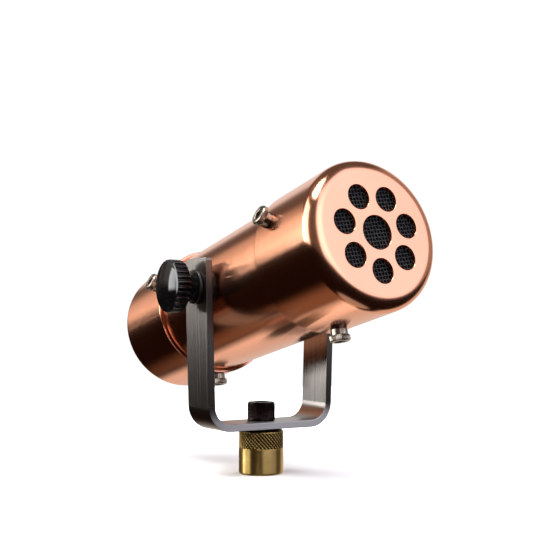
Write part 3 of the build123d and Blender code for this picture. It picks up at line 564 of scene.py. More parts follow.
copper, tree, shader = material("satin brushed copper")
where = local_mm(tree, mic_place)
x, y, z = add(tree, "ShaderNodeSeparateXYZ", {0: where}, None)
from_axis = add(tree, "ShaderNodeCombineXYZ", {0: x, 1: y})
reach = add(tree, "ShaderNodeVectorMath", {0: from_axis}, 1, operation="LENGTH")
spoke = add(tree, "ShaderNodeVectorMath", {0: from_axis}, operation="NORMALIZE")
spoke_x, spoke_y, _ = add(tree, "ShaderNodeSeparateXYZ", {0: spoke}, None)
along = add(tree, "ShaderNodeMath", {0: z, 1: reach}, operation="SUBTRACT")
wrapped = add(tree, "ShaderNodeCombineXYZ", {0: spoke_x, 1: spoke_y, 2: along})
fine = add(tree, "ShaderNodeVectorMath", {0: wrapped, 1: (1.6, 1.6, 5.5)}, operation="MULTIPLY")
fine = add(tree, "ShaderNodeTexNoise", {"Vector": fine, "Scale": 1.0, "Detail": 4.0})
broad = add(tree, "ShaderNodeVectorMath", {0: wrapped, 1: (2.2, 2.2, 1.1)}, operation="MULTIPLY")
broad = add(tree, "ShaderNodeTexNoise", {"Vector": broad, "Scale": 1.0, "Detail": 3.0})
handled = {"Vector": local_mm(tree, mic_place, (0.06, 0.06, 0.05)), "Scale": 1.0, "Detail": 5.0}
handled = add(tree, "ShaderNodeTexNoise", handled)
brushing = add(tree, "ShaderNodeMix", {0: 0.5, 2: fine, 3: broad})
streaks = add(tree, "ShaderNodeMix", {0: 0.35, 2: brushing, 3: handled})
round_way = {"Vector": spoke, "Angle": math.pi / 2}
round_way = add(tree, "ShaderNodeVectorRotate", round_way, rotation_type="Z_AXIS")
round_way = {"Vector": round_way, "Angle": math.pi / 2 - body_tilt}
round_way = add(tree, "ShaderNodeVectorRotate", round_way, rotation_type="X_AXIS")
round_way = add(tree, "ShaderNodeVectorTransform", {"Vector": round_way}, **to_world)
facing = add(tree, "ShaderNodeNewGeometry", output="Normal")
tones = {0: streaks, 6: linear("#f3a67d"), 7: linear("#fdbd9b")}
fill(tree, shader, {
    "Metallic": 1.0,
    "Anisotropic": 0.8,
    "Base Color": add(tree, "ShaderNodeMix", tones, 2, data_type="RGBA"),
    "Roughness": add(tree, "ShaderNodeMapRange", {0: streaks, 3: 0.1, 4: 0.22}),
    "Normal": add(tree, "ShaderNodeBump", {"Height": fine, "Strength": 1.0, "Distance": 4e-6}),
    "Tangent": add(tree, "ShaderNodeVectorMath", {0: facing, 1: round_way}, operation="CROSS_PRODUCT"),
})

tube_outer = 27.0
tube_inner = 25.5
tube_rear = -75.8
tube_front = 75.0
mesh = bmesh.new()
outline = rounded([
    (tube_inner, tube_rear, 0.2),
    (tube_outer, tube_rear, 0.3),
    (tube_outer, tube_rear + 1.0),
    (tube_outer, tube_front - 1.0),
    (tube_outer, tube_front, 0.3),
    (tube_inner, tube_front, 0.2),
    (tube_inner, tube_front - 1.0),
    (tube_inner, tube_rear + 1.0),
], 2)
turned(mesh, mic_place, outline, 192, closed=True)
tube = piece("copper_body_tube", mesh, copper)
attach(tube, "mic")
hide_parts("body_tube")

# ---- Front cap
# A copper pipe cap over the tube: flat face, well-rounded edge, and a ring of seven sound holes
# round a larger one, their rims eased with a scraper.
cap_outer = 28.75
cap_inner = 27.05
cap_wall = 1.7
front_face = 80.8
front_rim = front_face - 38.2
front_round = 5.6
hole_pitch = 14.33
hole_spots = [(0.0, 0.0, 6.37)]
for k in range(7):
    angle = math.radians(-90 + 360 * k / 7)
    hole_spots.append((hole_pitch * math.cos(angle), hole_pitch * math.sin(angle), 4.63))
hole_ease = 0.22
cap_steps = 256
hole_steps = 72


def edge_loop(loop):
    """The edges round a closed ring of vertices."""
    found = []
    for k, vertex in enumerate(loop):
        after = loop[(k + 1) % len(loop)]
        found.append(next(e for e in vertex.link_edges if e.other_vert(vertex) is after))
    return found


def cap_shell(mesh, rim, face, round_radius, way):
    """The turned part of a pipe cap from its rim to its flat face, outside and in: the two face edges."""
    outside = [(cap_inner, rim + way * 0.1), (cap_inner + 0.1, rim), (cap_outer - 0.25, rim)]
    outside += [(cap_outer - 0.07, rim + way * 0.07), (cap_outer, rim + way * 0.25)]
    outside += [(cap_outer, rim + way * 0.6), (cap_outer, face - way * (round_radius + 0.4))]
    arc_steps = 24
    for k in range(arc_steps + 1):
        angle = math.radians(90 * k / arc_steps)
        reach = cap_outer - round_radius + round_radius * math.cos(angle)
        outside.append((reach, face - way * round_radius * (1 - math.sin(angle))))
    outside.append((cap_outer - round_radius - 0.3, face))
    inside = [(cap_inner, rim + way * 0.1), (cap_inner, face - way * round_radius)]
    inner_round = round_radius - cap_wall
    inner_steps = 8
    for k in range(1, inner_steps + 1):
        angle = math.radians(90 * k / inner_steps)
        reach = cap_inner - inner_round + inner_round * math.cos(angle)
        inside.append((reach, face - way * (cap_wall + inner_round * (1 - math.sin(angle)))))
    loops = [ring(mesh, mic_place, radius, station, cap_steps) for radius, station in outside]
    for first, second in zip(loops, loops[1:]):
        bridge(mesh, first, second)
    inner_loops = [loops[0]]
    for radius, station in inside[1:]:
        inner_loops.append(ring(mesh, mic_place, radius, station, cap_steps))
    for first, second in zip(inner_loops, inner_loops[1:]):
        bridge(mesh, first, second)
    return loops[-1], inner_loops[-1]


def face_plate(mesh, outer_edge, inner_edge, face, holes, way):
    """The flat end of a cap, pierced by round holes with eased rims."""
    outer_edges = edge_loop(outer_edge)
    inner_edges = edge_loop(inner_edge)
    for x, y, radius in holes:
        wall = [(radius + hole_ease + 0.2, face)]
        for k in range(5):
            angle = math.radians(90 * k / 4)
            reach = radius + hole_ease * (1 - math.sin(angle))
            wall.append((reach, face - way * hole_ease * (1 - math.cos(angle))))
        wall.append((radius, face - way * cap_wall))
        loops = [ring(mesh, mic_place, reach, station, hole_steps, centre=(x, y)) for reach, station in wall]
        for first, second in zip(loops, loops[1:]):
            bridge(mesh, first, second)
        outer_edges += edge_loop(loops[0])
        inner_edges += edge_loop(loops[-1])
    bmesh.ops.triangle_fill(mesh, use_beauty=True, edges=outer_edges)
    bmesh.ops.triangle_fill(mesh, use_beauty=True, edges=inner_edges)


mesh = bmesh.new()
outer_edge, inner_edge = cap_shell(mesh, front_rim, front_face, front_round, 1)
face_plate(mesh, outer_edge, inner_edge, front_face, hole_spots, 1)
front_cap = piece("copper_front_cap", mesh, copper, 50)
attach(front_cap, "mic")
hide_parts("front_cap")

# ---- Rear cap
# The same copper pipe cap on the tube's other end, bored in the middle for the output connector. Its
# edge is a little tighter than the front cap's.
rear_face = -81.2
rear_rim = rear_face + 40.5
rear_round = 5.2
shell_radius = 11.0
mesh = bmesh.new()
outer_edge, inner_edge = cap_shell(mesh, rear_rim, rear_face, rear_round, -1)
face_plate(mesh, outer_edge, inner_edge, rear_face, [(0.0, 0.0, shell_radius + 0.05)], -1)
rear_cap = piece("copper_rear_cap", mesh, copper, 50)
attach(rear_cap, "mic")
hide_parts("rear_cap")

# ---- Cap screws
# Stainless socket heads that stand proud of each cap on a smooth neck: three in front, three behind.
# Each head has a fine straight knurl, a bright bevelled rim and a deep hexagon socket.
screw_steel = worn(
    "knurled stainless steel", mic_place, grain=(0.8, 0.8, 0.8), detail=5.0,
    tones=("#8d8172", "#cfc6b8"), roughness=(0.16, 0.34), pits=(5.0, 5.0, 5.0), depth_mm=0.01,
    constants={"Metallic": 1.0},
)

screw_angles = (64.0, 180.0, -64.0)
front_screw_station = 50.5
rear_screw_station = -45.5
screw_shank = 2.41
screw_length = 9.5
neck_radius = 3.3
neck_height = 2.4
head_radius = 3.95
head_height = 2.4
socket_flat = 3.97 / 2
screw_knurl_count = 44


def screw_knurl(radius, angle, station):
    """Fine grooves along the screw's head."""
    return radius - 0.1 * (1 + math.cos(screw_knurl_count * angle))


def spoke_place(station, angle):
    """Axes square to the body's skin: Z outwards from the body's axis, X forwards."""
    lean = math.radians(angle)
    outwards = Vector((-math.sin(lean), math.cos(lean), 0.0))
    forwards = Vector((0.0, 0.0, 1.0))
    axes = Matrix((forwards, outwards.cross(forwards), outwards)).transposed().to_4x4()
    return mic_place @ Matrix.Translation((0.0, 0.0, station)) @ axes


for name, station in (("front", front_screw_station), ("rear", rear_screw_station)):
    mesh = bmesh.new()
    for angle in screw_angles:
        foot = cap_outer + 0.02
        head = cap_outer + neck_height
        top = head + head_height
        outline = [(0, cap_outer - screw_length), (screw_shank - 0.3, cap_outer - screw_length)]
        outline += [(screw_shank, cap_outer - screw_length + 0.4), (screw_shank, foot)]
        outline += [(neck_radius - 0.1, foot), (neck_radius, foot + 0.12), (neck_radius, head - 0.1)]
        outline += [(head_radius - 0.3, head - 0.02), (head_radius - 0.05, head + 0.15, screw_knurl)]
        outline += [(head_radius, head + 0.35, screw_knurl), (head_radius, top - 0.62, screw_knurl)]
        outline += [(head_radius - 0.08, top - 0.45), (head_radius - 0.5, top - 0.04)]
        outline += [(head_radius - 0.6, top), (socket_flat + 0.3, top, hexagonal)]
        outline += [(socket_flat, top - 0.25, hexagonal), (socket_flat, head, hexagonal), (0, head - 0.5)]
        turned(mesh, spoke_place(station, angle), outline, screw_knurl_count * 6)
    screws = piece(f"{name}_socket_screws", mesh, screw_steel)
    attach(screws, "mic")
    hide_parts(f"{name}_cap_screws")

# ---- Saddle washers
# A nylon spacer between the tube and each arm, hollowed on one side to sit on the pipe. It is moulded
# black, with the low sheen of nylon.
nylon = worn(
    "black nylon", stand_place, grain=(0.7, 0.7, 0.7), detail=6.0, tones=("#101011", "#242426"),
    roughness=(0.35, 0.6), pits=(3.0, 3.0, 3.0), depth_mm=0.02, constants={"Specular IOR Level": 0.4},
)


def side_place(side):
    """Axes along the pivot: Z outwards on one side, from the microphone's mid-plane."""
    outwards = Vector((side, 0.0, 0.0))
    up = Vector((0.0, 0.0, 1.0))
    axes = Matrix((up.cross(outwards), up, outwards)).transposed().to_4x4()
    return stand_place @ Matrix.Translation((0.0, 0.0, pivot_height)) @ axes


sides = (("left", -1), ("right", 1))
saddle_radius = 7.5
saddle_face = 28.06
saddle_steps = 72


def saddle(radius, shift, angle):
    """Station on the pipe's skin under a point of the washer, the pipe's axis tilted with the body."""
    across = radius * math.sin(angle)
    return math.sqrt(tube_outer ** 2 - across ** 2) + shift


for name, side in sides:
    mesh = bmesh.new()
    place = side_place(side)
    loops = []
    lean = -side * body_tilt
    hollow = ((pivot_hole, 0.02), (5.5, 0.02), (saddle_radius - 0.1, 0.02), (saddle_radius, 0.12))
    for radius, shift in hollow:
        loop = []
        for k in range(saddle_steps):
            angle = 2 * math.pi * k / saddle_steps
            station = min(saddle(radius, shift, angle + lean), saddle_face - 0.3)
            spot = Vector((radius * math.cos(angle), radius * math.sin(angle), station))
            loop.append(mesh.verts.new(place @ spot))
        loops.append(loop)
    flat_end = [(saddle_radius, saddle_face - 0.2), (saddle_radius - 0.2, saddle_face)]
    flat_end += [(pivot_hole, saddle_face)]
    for radius, station in flat_end:
        loops.append(ring(mesh, place, radius, station, saddle_steps))
    for first, second in zip(loops, loops[1:]):
        bridge(mesh, first, second)
    bridge(mesh, loops[-1], loops[0])
    washer = piece(f"{name}_nylon_saddle", mesh, nylon)
    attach(washer, "mic")
    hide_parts(f"{name}_saddle_washer")

# ---- Knob washers
# Plain steel washers between each arm and its knob. They are punched, so one edge is rounded over, and
# dulled by handling.
washer_steel = worn(
    "punched steel washer", stand_place, grain=(0.5, 0.5, 0.5), detail=6.0,
    tones=("#393735", "#63605d"), roughness=(0.35, 0.6), pits=(6.0, 6.0, 6.0), depth_mm=0.008,
    constants={"Metallic": 1.0},
)
washer_bore = 3.19
washer_radius = 7.0
washer_inner = 31.9
washer_outer = 33.06
for name, side in sides:
    mesh = bmesh.new()
    outline = rounded([
        (washer_bore, washer_inner, 0.1),
        (washer_radius, washer_inner, 0.15),
        (washer_radius, washer_outer, 0.4),
        (washer_bore, washer_outer, 0.1),
    ], 4)
    turned(mesh, side_place(side), outline, 96, closed=True)
    washer = piece(f"{name}_steel_washer", mesh, washer_steel)
    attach(washer, f"{name}_washer")
    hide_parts(f"{name}_knob_washer")

# ---- Knobs
# Glossy black phenolic mouldings with a round hub, a rim of 28 flutes and a shallow domed face. Handling
# has polished the flutes and, less, the front half of the face. The rest of the skin is dull with dust.
knob_bore = 3.13
knob_foot = 33.13
hub_radius = 5.6
knob_radius = 10.74
flute_count = 28
flute_radius = 0.7
knob_back = 39.03
knob_edge = 45.33
knob_face = 46.23
knob_steps = flute_count * 16
dome_radius = 9.6
dome_rise = 1.5
dome_steps = 14
polish_inner = 9.9
polish_outer = 10.3

phenolic, tree, shader = material("glossy black phenolic")
_, y, z = add(tree, "ShaderNodeSeparateXYZ", {0: local_mm(tree, stand_place)}, None)
dust = {"Vector": local_mm(tree, stand_place, (0.35, 0.35, 0.35)), "Scale": 1.0, "Detail": 8.0}
dust = add(tree, "ShaderNodeTexNoise", dust)
ripple = {"Vector": local_mm(tree, stand_place, (0.6, 0.6, 0.6)), "Scale": 1.0, "Detail": 1.0}
ripple = add(tree, "ShaderNodeTexNoise", ripple)
tones = {0: dust, 6: linear("#030303"), 7: linear("#0a0a0b")}
above_pivot = add(tree, "ShaderNodeMath", {0: z, 1: pivot_height}, operation="SUBTRACT")
from_stud = add(tree, "ShaderNodeCombineXYZ", {0: y, 1: above_pivot})
reach = add(tree, "ShaderNodeVectorMath", {0: from_stud}, 1, operation="LENGTH")
on_flutes = add(tree, "ShaderNodeMapRange", {0: reach, 1: polish_inner, 2: polish_outer})
on_face = add(tree, "ShaderNodeMapRange", {0: y, 1: 0.5, 2: -5.0, 3: 0.0, 4: 0.6})
fill(tree, shader, {
    "Specular IOR Level": 0.03,
    "Coat Roughness": 0.05,
    "Coat Weight": add(tree, "ShaderNodeMath", {0: on_face, 1: on_flutes}, operation="MAXIMUM"),
    "Base Color": add(tree, "ShaderNodeMix", tones, 2, data_type="RGBA"),
    "Roughness": add(tree, "ShaderNodeMapRange", {0: dust, 3: 0.03, 4: 0.09}),
    "Normal": add(tree, "ShaderNodeBump", {"Height": ripple, "Strength": 1.0, "Distance": 1.5e-5}),
})


def fluted(radius, angle, station):
    """A round rim cut by half-round flutes, with eased edges."""
    pitch = 2 * math.pi / flute_count
    off = abs((angle + pitch / 2) % pitch - pitch / 2) * radius
    depth = math.sqrt(flute_radius ** 2 - off ** 2) if off < flute_radius else 0.0
    ease = 0.1 * max(0.0, 1 - abs(off - flute_radius) / 0.3)
    return radius - max(depth, ease)


for name, side in sides:
    mesh = bmesh.new()
    outline = [(knob_bore, knob_foot), (hub_radius - 0.2, knob_foot), (hub_radius, knob_foot + 0.2)]
    outline += [(hub_radius, knob_back - 0.5), (hub_radius + 0.2, knob_back - 0.1)]
    outline += [(hub_radius + 0.6, knob_back), (9.4, knob_back), (knob_radius - 0.45, knob_back)]
    outline += [(knob_radius - 0.13, knob_back + 0.13, fluted), (knob_radius, knob_back + 0.45, fluted)]
    outline += [(knob_radius, knob_edge - 1.3, fluted), (knob_radius - 0.12, knob_edge - 0.95, fluted)]
    outline += [(knob_radius - 0.45, knob_edge - 0.75), (knob_radius - 0.8, knob_edge - 0.62)]
    for k in range(dome_steps):
        reach = dome_radius * (1 - k / dome_steps)
        outline.append((reach, knob_face - dome_rise * (reach / dome_radius) ** 2))
    outline.append((0, knob_face))
    turned(mesh, side_place(side), outline, knob_steps)
    knob = piece(f"{name}_fluted_knob", mesh, phenolic, 38)
    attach(knob, f"{name}_knob")
    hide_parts(f"{name}_knob")

# ---- Grille mesh
# A disc of plain-woven wire, blackened, trapped behind the sound holes. Each wire passes over and
# under the ones it crosses.
wire = worn(
    "blackened wire mesh", mic_place, grain=(0.6, 0.6, 2.0), detail=4.0, tones=("#131415", "#38393b"),
    roughness=(0.3, 0.55), pits=(5.0, 5.0, 5.0), depth_mm=0.01, constants={"Specular IOR Level": 0.6},
)

mesh_radius = 22.8
mesh_front = 79.08
mesh_pitch = 1.42
wire_radius = 0.17
weave_middle = mesh_front - 2 * wire_radius
weave_turn = math.radians(8)
weave_steps = 4
wire_sides = 6
mesh = bmesh.new()
wire_count = int(mesh_radius / mesh_pitch)
for lengthwise in (False, True):
    for i in range(-wire_count, wire_count + 1):
        off = i * mesh_pitch
        reach = math.sqrt(max(mesh_radius ** 2 - off ** 2, 0.0)) - 0.2
        steps = max(2, int(2 * reach / mesh_pitch * weave_steps))
        loops = []
        for k in range(steps + 1):
            along = -reach + 2 * reach * k / steps
            wave = math.cos(math.pi * along / mesh_pitch + math.pi * (i + lengthwise))
            spot = Vector((along, off)) if lengthwise else Vector((off, along))
            spot.rotate(Matrix.Rotation(weave_turn, 2))
            way = Vector((1.0, 0.0)) if lengthwise else Vector((0.0, 1.0))
            way.rotate(Matrix.Rotation(weave_turn, 2))
            loop = []
            for s in range(wire_sides):
                angle = 2 * math.pi * s / wire_sides
                cross = Vector((-way.y, way.x)) * wire_radius * math.cos(angle)
                height = weave_middle + wave * wire_radius + wire_radius * math.sin(angle)
                loop.append(mesh.verts.new(mic_place @ Vector((*(spot + cross), height))))
            loops.append(loop)
        for first, second in zip(loops, loops[1:]):
            bridge(mesh, first, second)
        mesh.faces.new(loops[0])
        mesh.faces.new(loops[-1])
weave = piece("woven_grille_mesh", mesh, wire, 80)
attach(weave, "mic")
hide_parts("grille_mesh")


def dress(node, finish):
    """Gives a CAD node that stays in view a new material in each of its slots."""
    slots = nodes[node].data.materials
    slots.clear()
    slots.append(finish)


foam = worn(
    "open cell black foam", mic_place, grain=(1.5, 1.5, 1.5), detail=4.0, tones=("#020202", "#0a0a0b"),
    roughness=(0.85, 1.0), pits=(1.5, 1.5, 1.5), depth_mm=0.2, constants={"Specular IOR Level": 0.1},
)
dress("foam_disc", foam)

# ---- Mesh ring
# A turned black nylon ring with a spigot in the tube's end, which traps the mesh against the cap. Fine
# tool rings run round it.
ring_nylon = worn(
    "turned black nylon", mic_place, grain=(0.1, 0.1, 2.5), detail=5.0, tones=("#0f0f10", "#222223"),
    roughness=(0.4, 0.62), pits=(0.3, 0.3, 4.0), depth_mm=0.02, constants={"Specular IOR Level": 0.4},
)
dress("mesh_ring", ring_nylon)

# ---- Screw nuts
# Milled brass blocks inside the tube that the cap screws pull on, three behind each cap. Their saw marks
# are left in, across each block.
nut_brass = worn(
    "milled brass", mic_place, grain=(2.4, 0.2, 0.2), detail=4.0, tones=("#a98341", "#d6b26c"),
    roughness=(0.28, 0.5), pits=(4.0, 0.4, 0.4), depth_mm=0.02, constants={"Metallic": 1.0},
)
dress("front_screw_nuts", nut_brass)
dress("rear_screw_nuts", nut_brass)

# ---- Pivot bosses and studs
# A flanged brass bush on each side takes the tilt's load into the tube. The zinc-plated stud that turns
# in it is moulded into the knob.
boss_brass = worn(
    "turned brass bush", stand_place, grain=(3.0, 0.15, 0.15), detail=5.0, tones=("#b08a45", "#dcb970"),
    roughness=(0.2, 0.4), pits=(5.0, 0.3, 0.3), depth_mm=0.012, constants={"Metallic": 1.0},
)
stud_zinc = worn(
    "zinc plated thread", stand_place, grain=(4.0, 0.5, 0.5), detail=4.0, tones=("#74797d", "#c0c5c8"),
    roughness=(0.22, 0.45), pits=(0.8, 0.1, 0.1), depth_mm=0.05, constants={"Metallic": 1.0},
)
for name, side in sides:
    dress(f"{name}_pivot_boss", boss_brass)
    dress(f"{name}_pivot_stud", stud_zinc)

# ---- Motor frame and its screws
# A milled soft-iron frame, zinc-plated against rust, held to its plate by four plated screws.
frame_zinc = worn(
    "zinc plated milled iron", mic_place, grain=(0.4, 1.8, 0.4), detail=6.0,
    tones=("#7a7e80", "#b6babc"), roughness=(0.3, 0.55), pits=(1.0, 5.0, 1.0), depth_mm=0.015,
    constants={"Metallic": 1.0},
)
dress("motor_frame", frame_zinc)
screw_zinc = worn(
    "zinc plated screws", mic_place, grain=(1.6, 1.6, 1.6), detail=5.0, tones=("#82878a", "#c4c9cc"),
    roughness=(0.22, 0.42), pits=(6.0, 6.0, 2.0), depth_mm=0.012, constants={"Metallic": 1.0},
)
dress("motor_screws", screw_zinc)

# ---- Magnets and pole pieces
# Nickel-plated bar magnets, slightly pitted, one against each side of the frame, and ground steel pole
# pieces that taper to the ribbon's gap. The grinding shows as fine lines.
magnet_nickel = worn(
    "nickel plated magnet", mic_place, grain=(0.3, 0.3, 0.3), detail=7.0, tones=("#8f8b83", "#c8c4ba"),
    roughness=(0.12, 0.32), pits=(2.5, 2.5, 2.5), depth_mm=0.015, constants={"Metallic": 1.0},
)
pole_steel = worn(
    "ground pole steel", mic_place, grain=(0.5, 4.0, 0.5), detail=4.0, tones=("#75797c", "#b9bdc0"),
    roughness=(0.2, 0.36), pits=(0.8, 8.0, 0.8), depth_mm=0.006, constants={"Metallic": 1.0},
)
for name, side in sides:
    dress(f"{name}_magnet", magnet_nickel)
    dress(f"{name}_pole_piece", pole_steel)

# ---- Ribbon
# A strip of bright aluminium leaf, crimped between gears and hung between the pole pieces. It wrinkles
# finely across its folds.
foil = worn(
    "crimped aluminium leaf", mic_place, grain=(0.8, 0.2, 0.2), detail=6.0,
    tones=("#c9c9cb", "#f0f0f2"), roughness=(0.1, 0.28), pits=(3.0, 0.6, 0.6), depth_mm=0.03,
    constants={"Metallic": 1.0},
)
dress("ribbon", foil)

# ---- Terminal blocks, clamps and their screws
# The ribbon's ends are held between brown fabric laminate blocks and drawn brass bars, with four brass
# screws. The laminate shows its weave, and the bars their drawing lines.
laminate = worn(
    "brown fabric laminate", mic_place, grain=(2.2, 2.2, 6.0), detail=3.0, tones=("#5c3316", "#8f5a2c"),
    roughness=(0.35, 0.55), pits=(4.0, 4.0, 12.0), depth_mm=0.02, constants={"Specular IOR Level": 0.5},
)
clamp_brass = worn(
    "drawn brass bar", mic_place, grain=(0.2, 2.8, 1.0), detail=4.0, tones=("#b48f49", "#e0be78"),
    roughness=(0.18, 0.36), pits=(0.4, 5.0, 2.0), depth_mm=0.01, constants={"Metallic": 1.0},
)
for level in ("upper", "lower"):
    dress(f"{level}_terminal_block", laminate)
    dress(f"{level}_ribbon_clamp", clamp_brass)
dress("clamp_screws", clamp_brass)

# ---- Motor plate and transformer plate
# Aluminium discs that carry the motor and the transformer on the chassis rods, faced on a lathe and left
# bare. The facing marks catch the light in rings.
faced, tree, shader = material("faced aluminium")
x, y, z = add(tree, "ShaderNodeSeparateXYZ", {0: local_mm(tree, mic_place)}, None)
from_axis = add(tree, "ShaderNodeCombineXYZ", {0: x, 1: y})
reach = add(tree, "ShaderNodeVectorMath", {0: from_axis}, 1, operation="LENGTH")
rings_at = add(tree, "ShaderNodeCombineXYZ", {0: reach, 1: z})
cutter = add(tree, "ShaderNodeTexNoise", {"Vector": rings_at, "Scale": 3.5, "Detail": 4.0})
stain = {"Vector": local_mm(tree, mic_place, (0.15, 0.15, 0.15)), "Scale": 1.0, "Detail": 6.0}
stain = add(tree, "ShaderNodeTexNoise", stain)
tones = {0: stain, 6: linear("#a9abad"), 7: linear("#d8dadb")}
fill(tree, shader, {
    "Metallic": 1.0,
    "Base Color": add(tree, "ShaderNodeMix", tones, 2, data_type="RGBA"),
    "Roughness": add(tree, "ShaderNodeMapRange", {0: cutter, 3: 0.22, 4: 0.42}),
    "Normal": add(tree, "ShaderNodeBump", {"Height": cutter, "Strength": 1.0, "Distance": 1e-5}),
})
dress("motor_plate", faced)
dress("transformer_plate", faced)

# ---- Felt pad
# Pressed grey wool, cut to a disc behind the motor plate, that damps the air there. Its short fibres
# leave it quite dull.
felt = worn(
    "pressed grey felt", mic_place, grain=(3.0, 3.0, 6.0), detail=8.0, tones=("#3a3a3c", "#7c7c80"),
    roughness=(0.9, 1.0), pits=(4.0, 4.0, 9.0), depth_mm=0.12,
    constants={"Specular IOR Level": 0.1, "Sheen Weight": 0.4},
)
dress("felt_pad", felt)

# ---- Isolators
# Moulded black rubber rings that hang the chassis in the tube and keep knocks from it. They are dull,
# with a faint bloom.
rubber = worn(
    "moulded black rubber", mic_place, grain=(0.25, 0.25, 0.4), detail=7.0,
    tones=("#0b0b0b", "#1e1e1d"), roughness=(0.55, 0.8), pits=(3.0, 3.0, 3.0), depth_mm=0.03,
    constants={"Specular IOR Level": 0.35},
)
dress("front_isolator", rubber)
dress("rear_isolator", rubber)

# ---- Chassis rods and nuts
# Steel rods that tie the two plates together, with hexagon nuts behind. They are drawn to size, so their
# marks run lengthwise, and zinc-plated like the nuts.
rod_zinc = worn(
    "zinc plated drawn rod", mic_place, grain=(3.0, 3.0, 0.08), detail=4.0,
    tones=("#7c8184", "#c2c7ca"), roughness=(0.2, 0.4), pits=(6.0, 6.0, 0.15), depth_mm=0.008,
    constants={"Metallic": 1.0},
)
dress("chassis_rods", rod_zinc)
dress("rod_nuts", screw_zinc)

# ---- Terminal board
# A disc of the same brown laminate, sawn from sheet, where the ribbon's leads end. It has the sheet's
# colour and weave.
dress("terminal_board", laminate)

# ---- Ribbon leads and output leads
# Straight wires in red insulation, from the ribbon's clamps back to the terminal board and from the
# transformer can to the pins. The insulation is a little chalky.
lead = worn(
    "red insulated wire", mic_place, grain=(0.8, 0.8, 0.15), detail=5.0, tones=("#7c120d", "#a9251c"),
    roughness=(0.35, 0.55), pits=(1.5, 1.5, 0.4), depth_mm=0.03, constants={"Specular IOR Level": 0.5},
)
dress("ribbon_leads", lead)
dress("output_leads", lead)

# ---- Transformer can and its screws
# A deep-drawn nickel-iron can that screens the transformer, held by four small plated screws. It is
# annealed, which leaves a grey, slightly orange-peeled skin.
drawn_can = worn(
    "annealed nickel iron", mic_place, grain=(0.35, 0.35, 0.08), detail=6.0,
    tones=("#76766f", "#adada5"), roughness=(0.35, 0.55), pits=(1.2, 1.2, 1.2), depth_mm=0.02,
    constants={"Metallic": 1.0},
)
dress("transformer_can", drawn_can)
dress("can_screws", screw_zinc)

# ---- Transformer core and coil
# Stacked dark iron laminations, whose edges show as fine lines, with a winding of enamelled copper wire
# round the middle leg that shows as turns.
stack = worn(
    "stacked laminations", mic_place, grain=(0.15, 4.0, 0.15), detail=3.0, tones=("#1d1e20", "#55575a"),
    roughness=(0.35, 0.6), pits=(0.2, 5.0, 0.2), depth_mm=0.05, constants={"Metallic": 1.0},
)
dress("transformer_core", stack)
winding = worn(
    "enamelled copper winding", mic_place, grain=(0.2, 0.2, 7.0), detail=3.0,
    tones=("#4f1f0c", "#a3552a"), roughness=(0.2, 0.38), pits=(0.2, 0.2, 8.0), depth_mm=0.06,
    constants={"Metallic": 0.6},
)
dress("transformer_coil", winding)

# ---- Output connector
# A three-pin connector in the rear cap: satin nickel shell with an eased rim, black insert, gold-flashed
# pins with round tips, and a ring nut behind the cap.
nickel = worn(
    "satin nickel plate", mic_place, grain=(0.5, 0.5, 0.9), detail=6.0, tones=("#8a867d", "#c9c5bb"),
    roughness=(0.24, 0.42), pits=(3.5, 3.5, 3.5), depth_mm=0.01, constants={"Metallic": 1.0},
)
dress("connector_nut", nickel)
shell_bore = 9.4
flange_radius = 13.0
shell_mouth = -82.8
insert_front = -69.3
insert_back = -65.8
mesh = bmesh.new()
outline = rounded([
    (shell_bore, shell_mouth, 0.4),
    (flange_radius, shell_mouth, 0.5),
    (flange_radius, rear_face - 0.02, 0.1),
    (shell_radius, rear_face - 0.02),
    (shell_radius, insert_back, 0.2),
    (shell_bore, insert_back, 0.1),
], 4)
turned(mesh, mic_place, outline, 128, closed=True)
shell = piece("nickel_connector_shell", mesh, nickel)
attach(shell, "mic")
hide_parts("connector_shell")

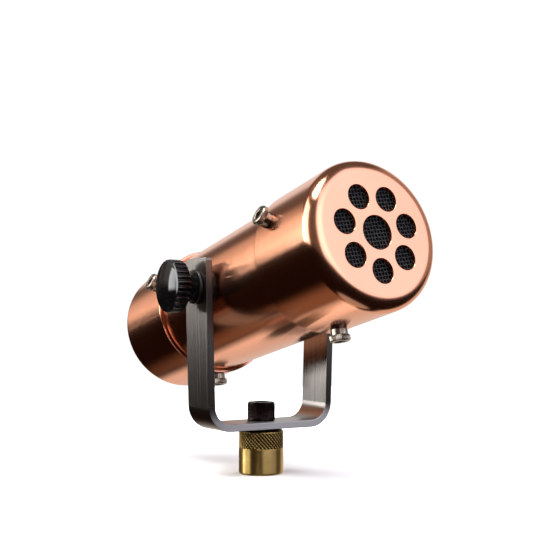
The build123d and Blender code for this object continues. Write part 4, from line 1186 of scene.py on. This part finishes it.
insert_plastic = worn(
    "moulded black insert", mic_place, grain=(0.6, 0.6, 0.6), detail=6.0, tones=("#0d0d0e", "#1f1f20"),
    roughness=(0.3, 0.5), pits=(2.5, 2.5, 2.5), depth_mm=0.02, constants={"Specular IOR Level": 0.45},
)
pin_circle = 4.6
pin_spots = []
for k in range(3):
    angle = math.radians(90 + 120 * k)
    pin_spots.append((pin_circle * math.cos(angle), pin_circle * math.sin(angle)))
mesh = bmesh.new()
outer = ring(mesh, mic_place, shell_bore - 0.02, insert_front + 0.3, 96)
eased = ring(mesh, mic_place, shell_bore - 0.32, insert_front, 96)
back_edge = ring(mesh, mic_place, shell_bore - 0.02, insert_back, 96)
bridge(mesh, eased, outer)
bridge(mesh, outer, back_edge)
front_edges = edge_loop(eased)
collar_outline = [(1.9, insert_front), (1.75, insert_front - 0.35), (1.35, insert_front - 0.4)]
collar_outline += [(1.22, insert_front - 0.2), (1.22, insert_front + 0.5)]
for x, y in pin_spots:
    collar = []
    for reach, station in collar_outline:
        collar.append(ring(mesh, mic_place, reach, station, 32, centre=(x, y)))
    for first, second in zip(collar, collar[1:]):
        bridge(mesh, first, second)
    mesh.faces.new(collar[-1])
    front_edges += edge_loop(collar[0])
bmesh.ops.triangle_fill(mesh, use_beauty=True, edges=front_edges)
mesh.faces.new(back_edge)
insert = piece("black_connector_insert", mesh, insert_plastic, 40)
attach(insert, "mic")
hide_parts("connector_insert")

gold = worn(
    "gold flashed pins", mic_place, grain=(0.8, 0.8, 0.3), detail=5.0, tones=("#c59a4c", "#ecd08a"),
    roughness=(0.14, 0.3), pits=(4.0, 4.0, 1.0), depth_mm=0.008, constants={"Metallic": 1.0},
)
pin_radius = 1.2
tail_radius = 0.9
pin_tip = -81.6
pin_tail = -63.3
mesh = bmesh.new()
for x, y in pin_spots:
    outline = [(0, pin_tip), (0.55, pin_tip + 0.06), (0.95, pin_tip + 0.3), (1.15, pin_tip + 0.75)]
    outline += [(pin_radius, pin_tip + 1.2), (pin_radius, insert_back + 0.1)]
    outline += [(tail_radius, insert_back + 0.4), (tail_radius, pin_tail - 0.1), (0.8, pin_tail)]
    outline += [(0, pin_tail)]
    turned(mesh, mic_place, outline, 32, centre=(x, y))
pins = piece("gold_connector_pins", mesh, gold)
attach(pins, "mic")
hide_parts("connector_pins")
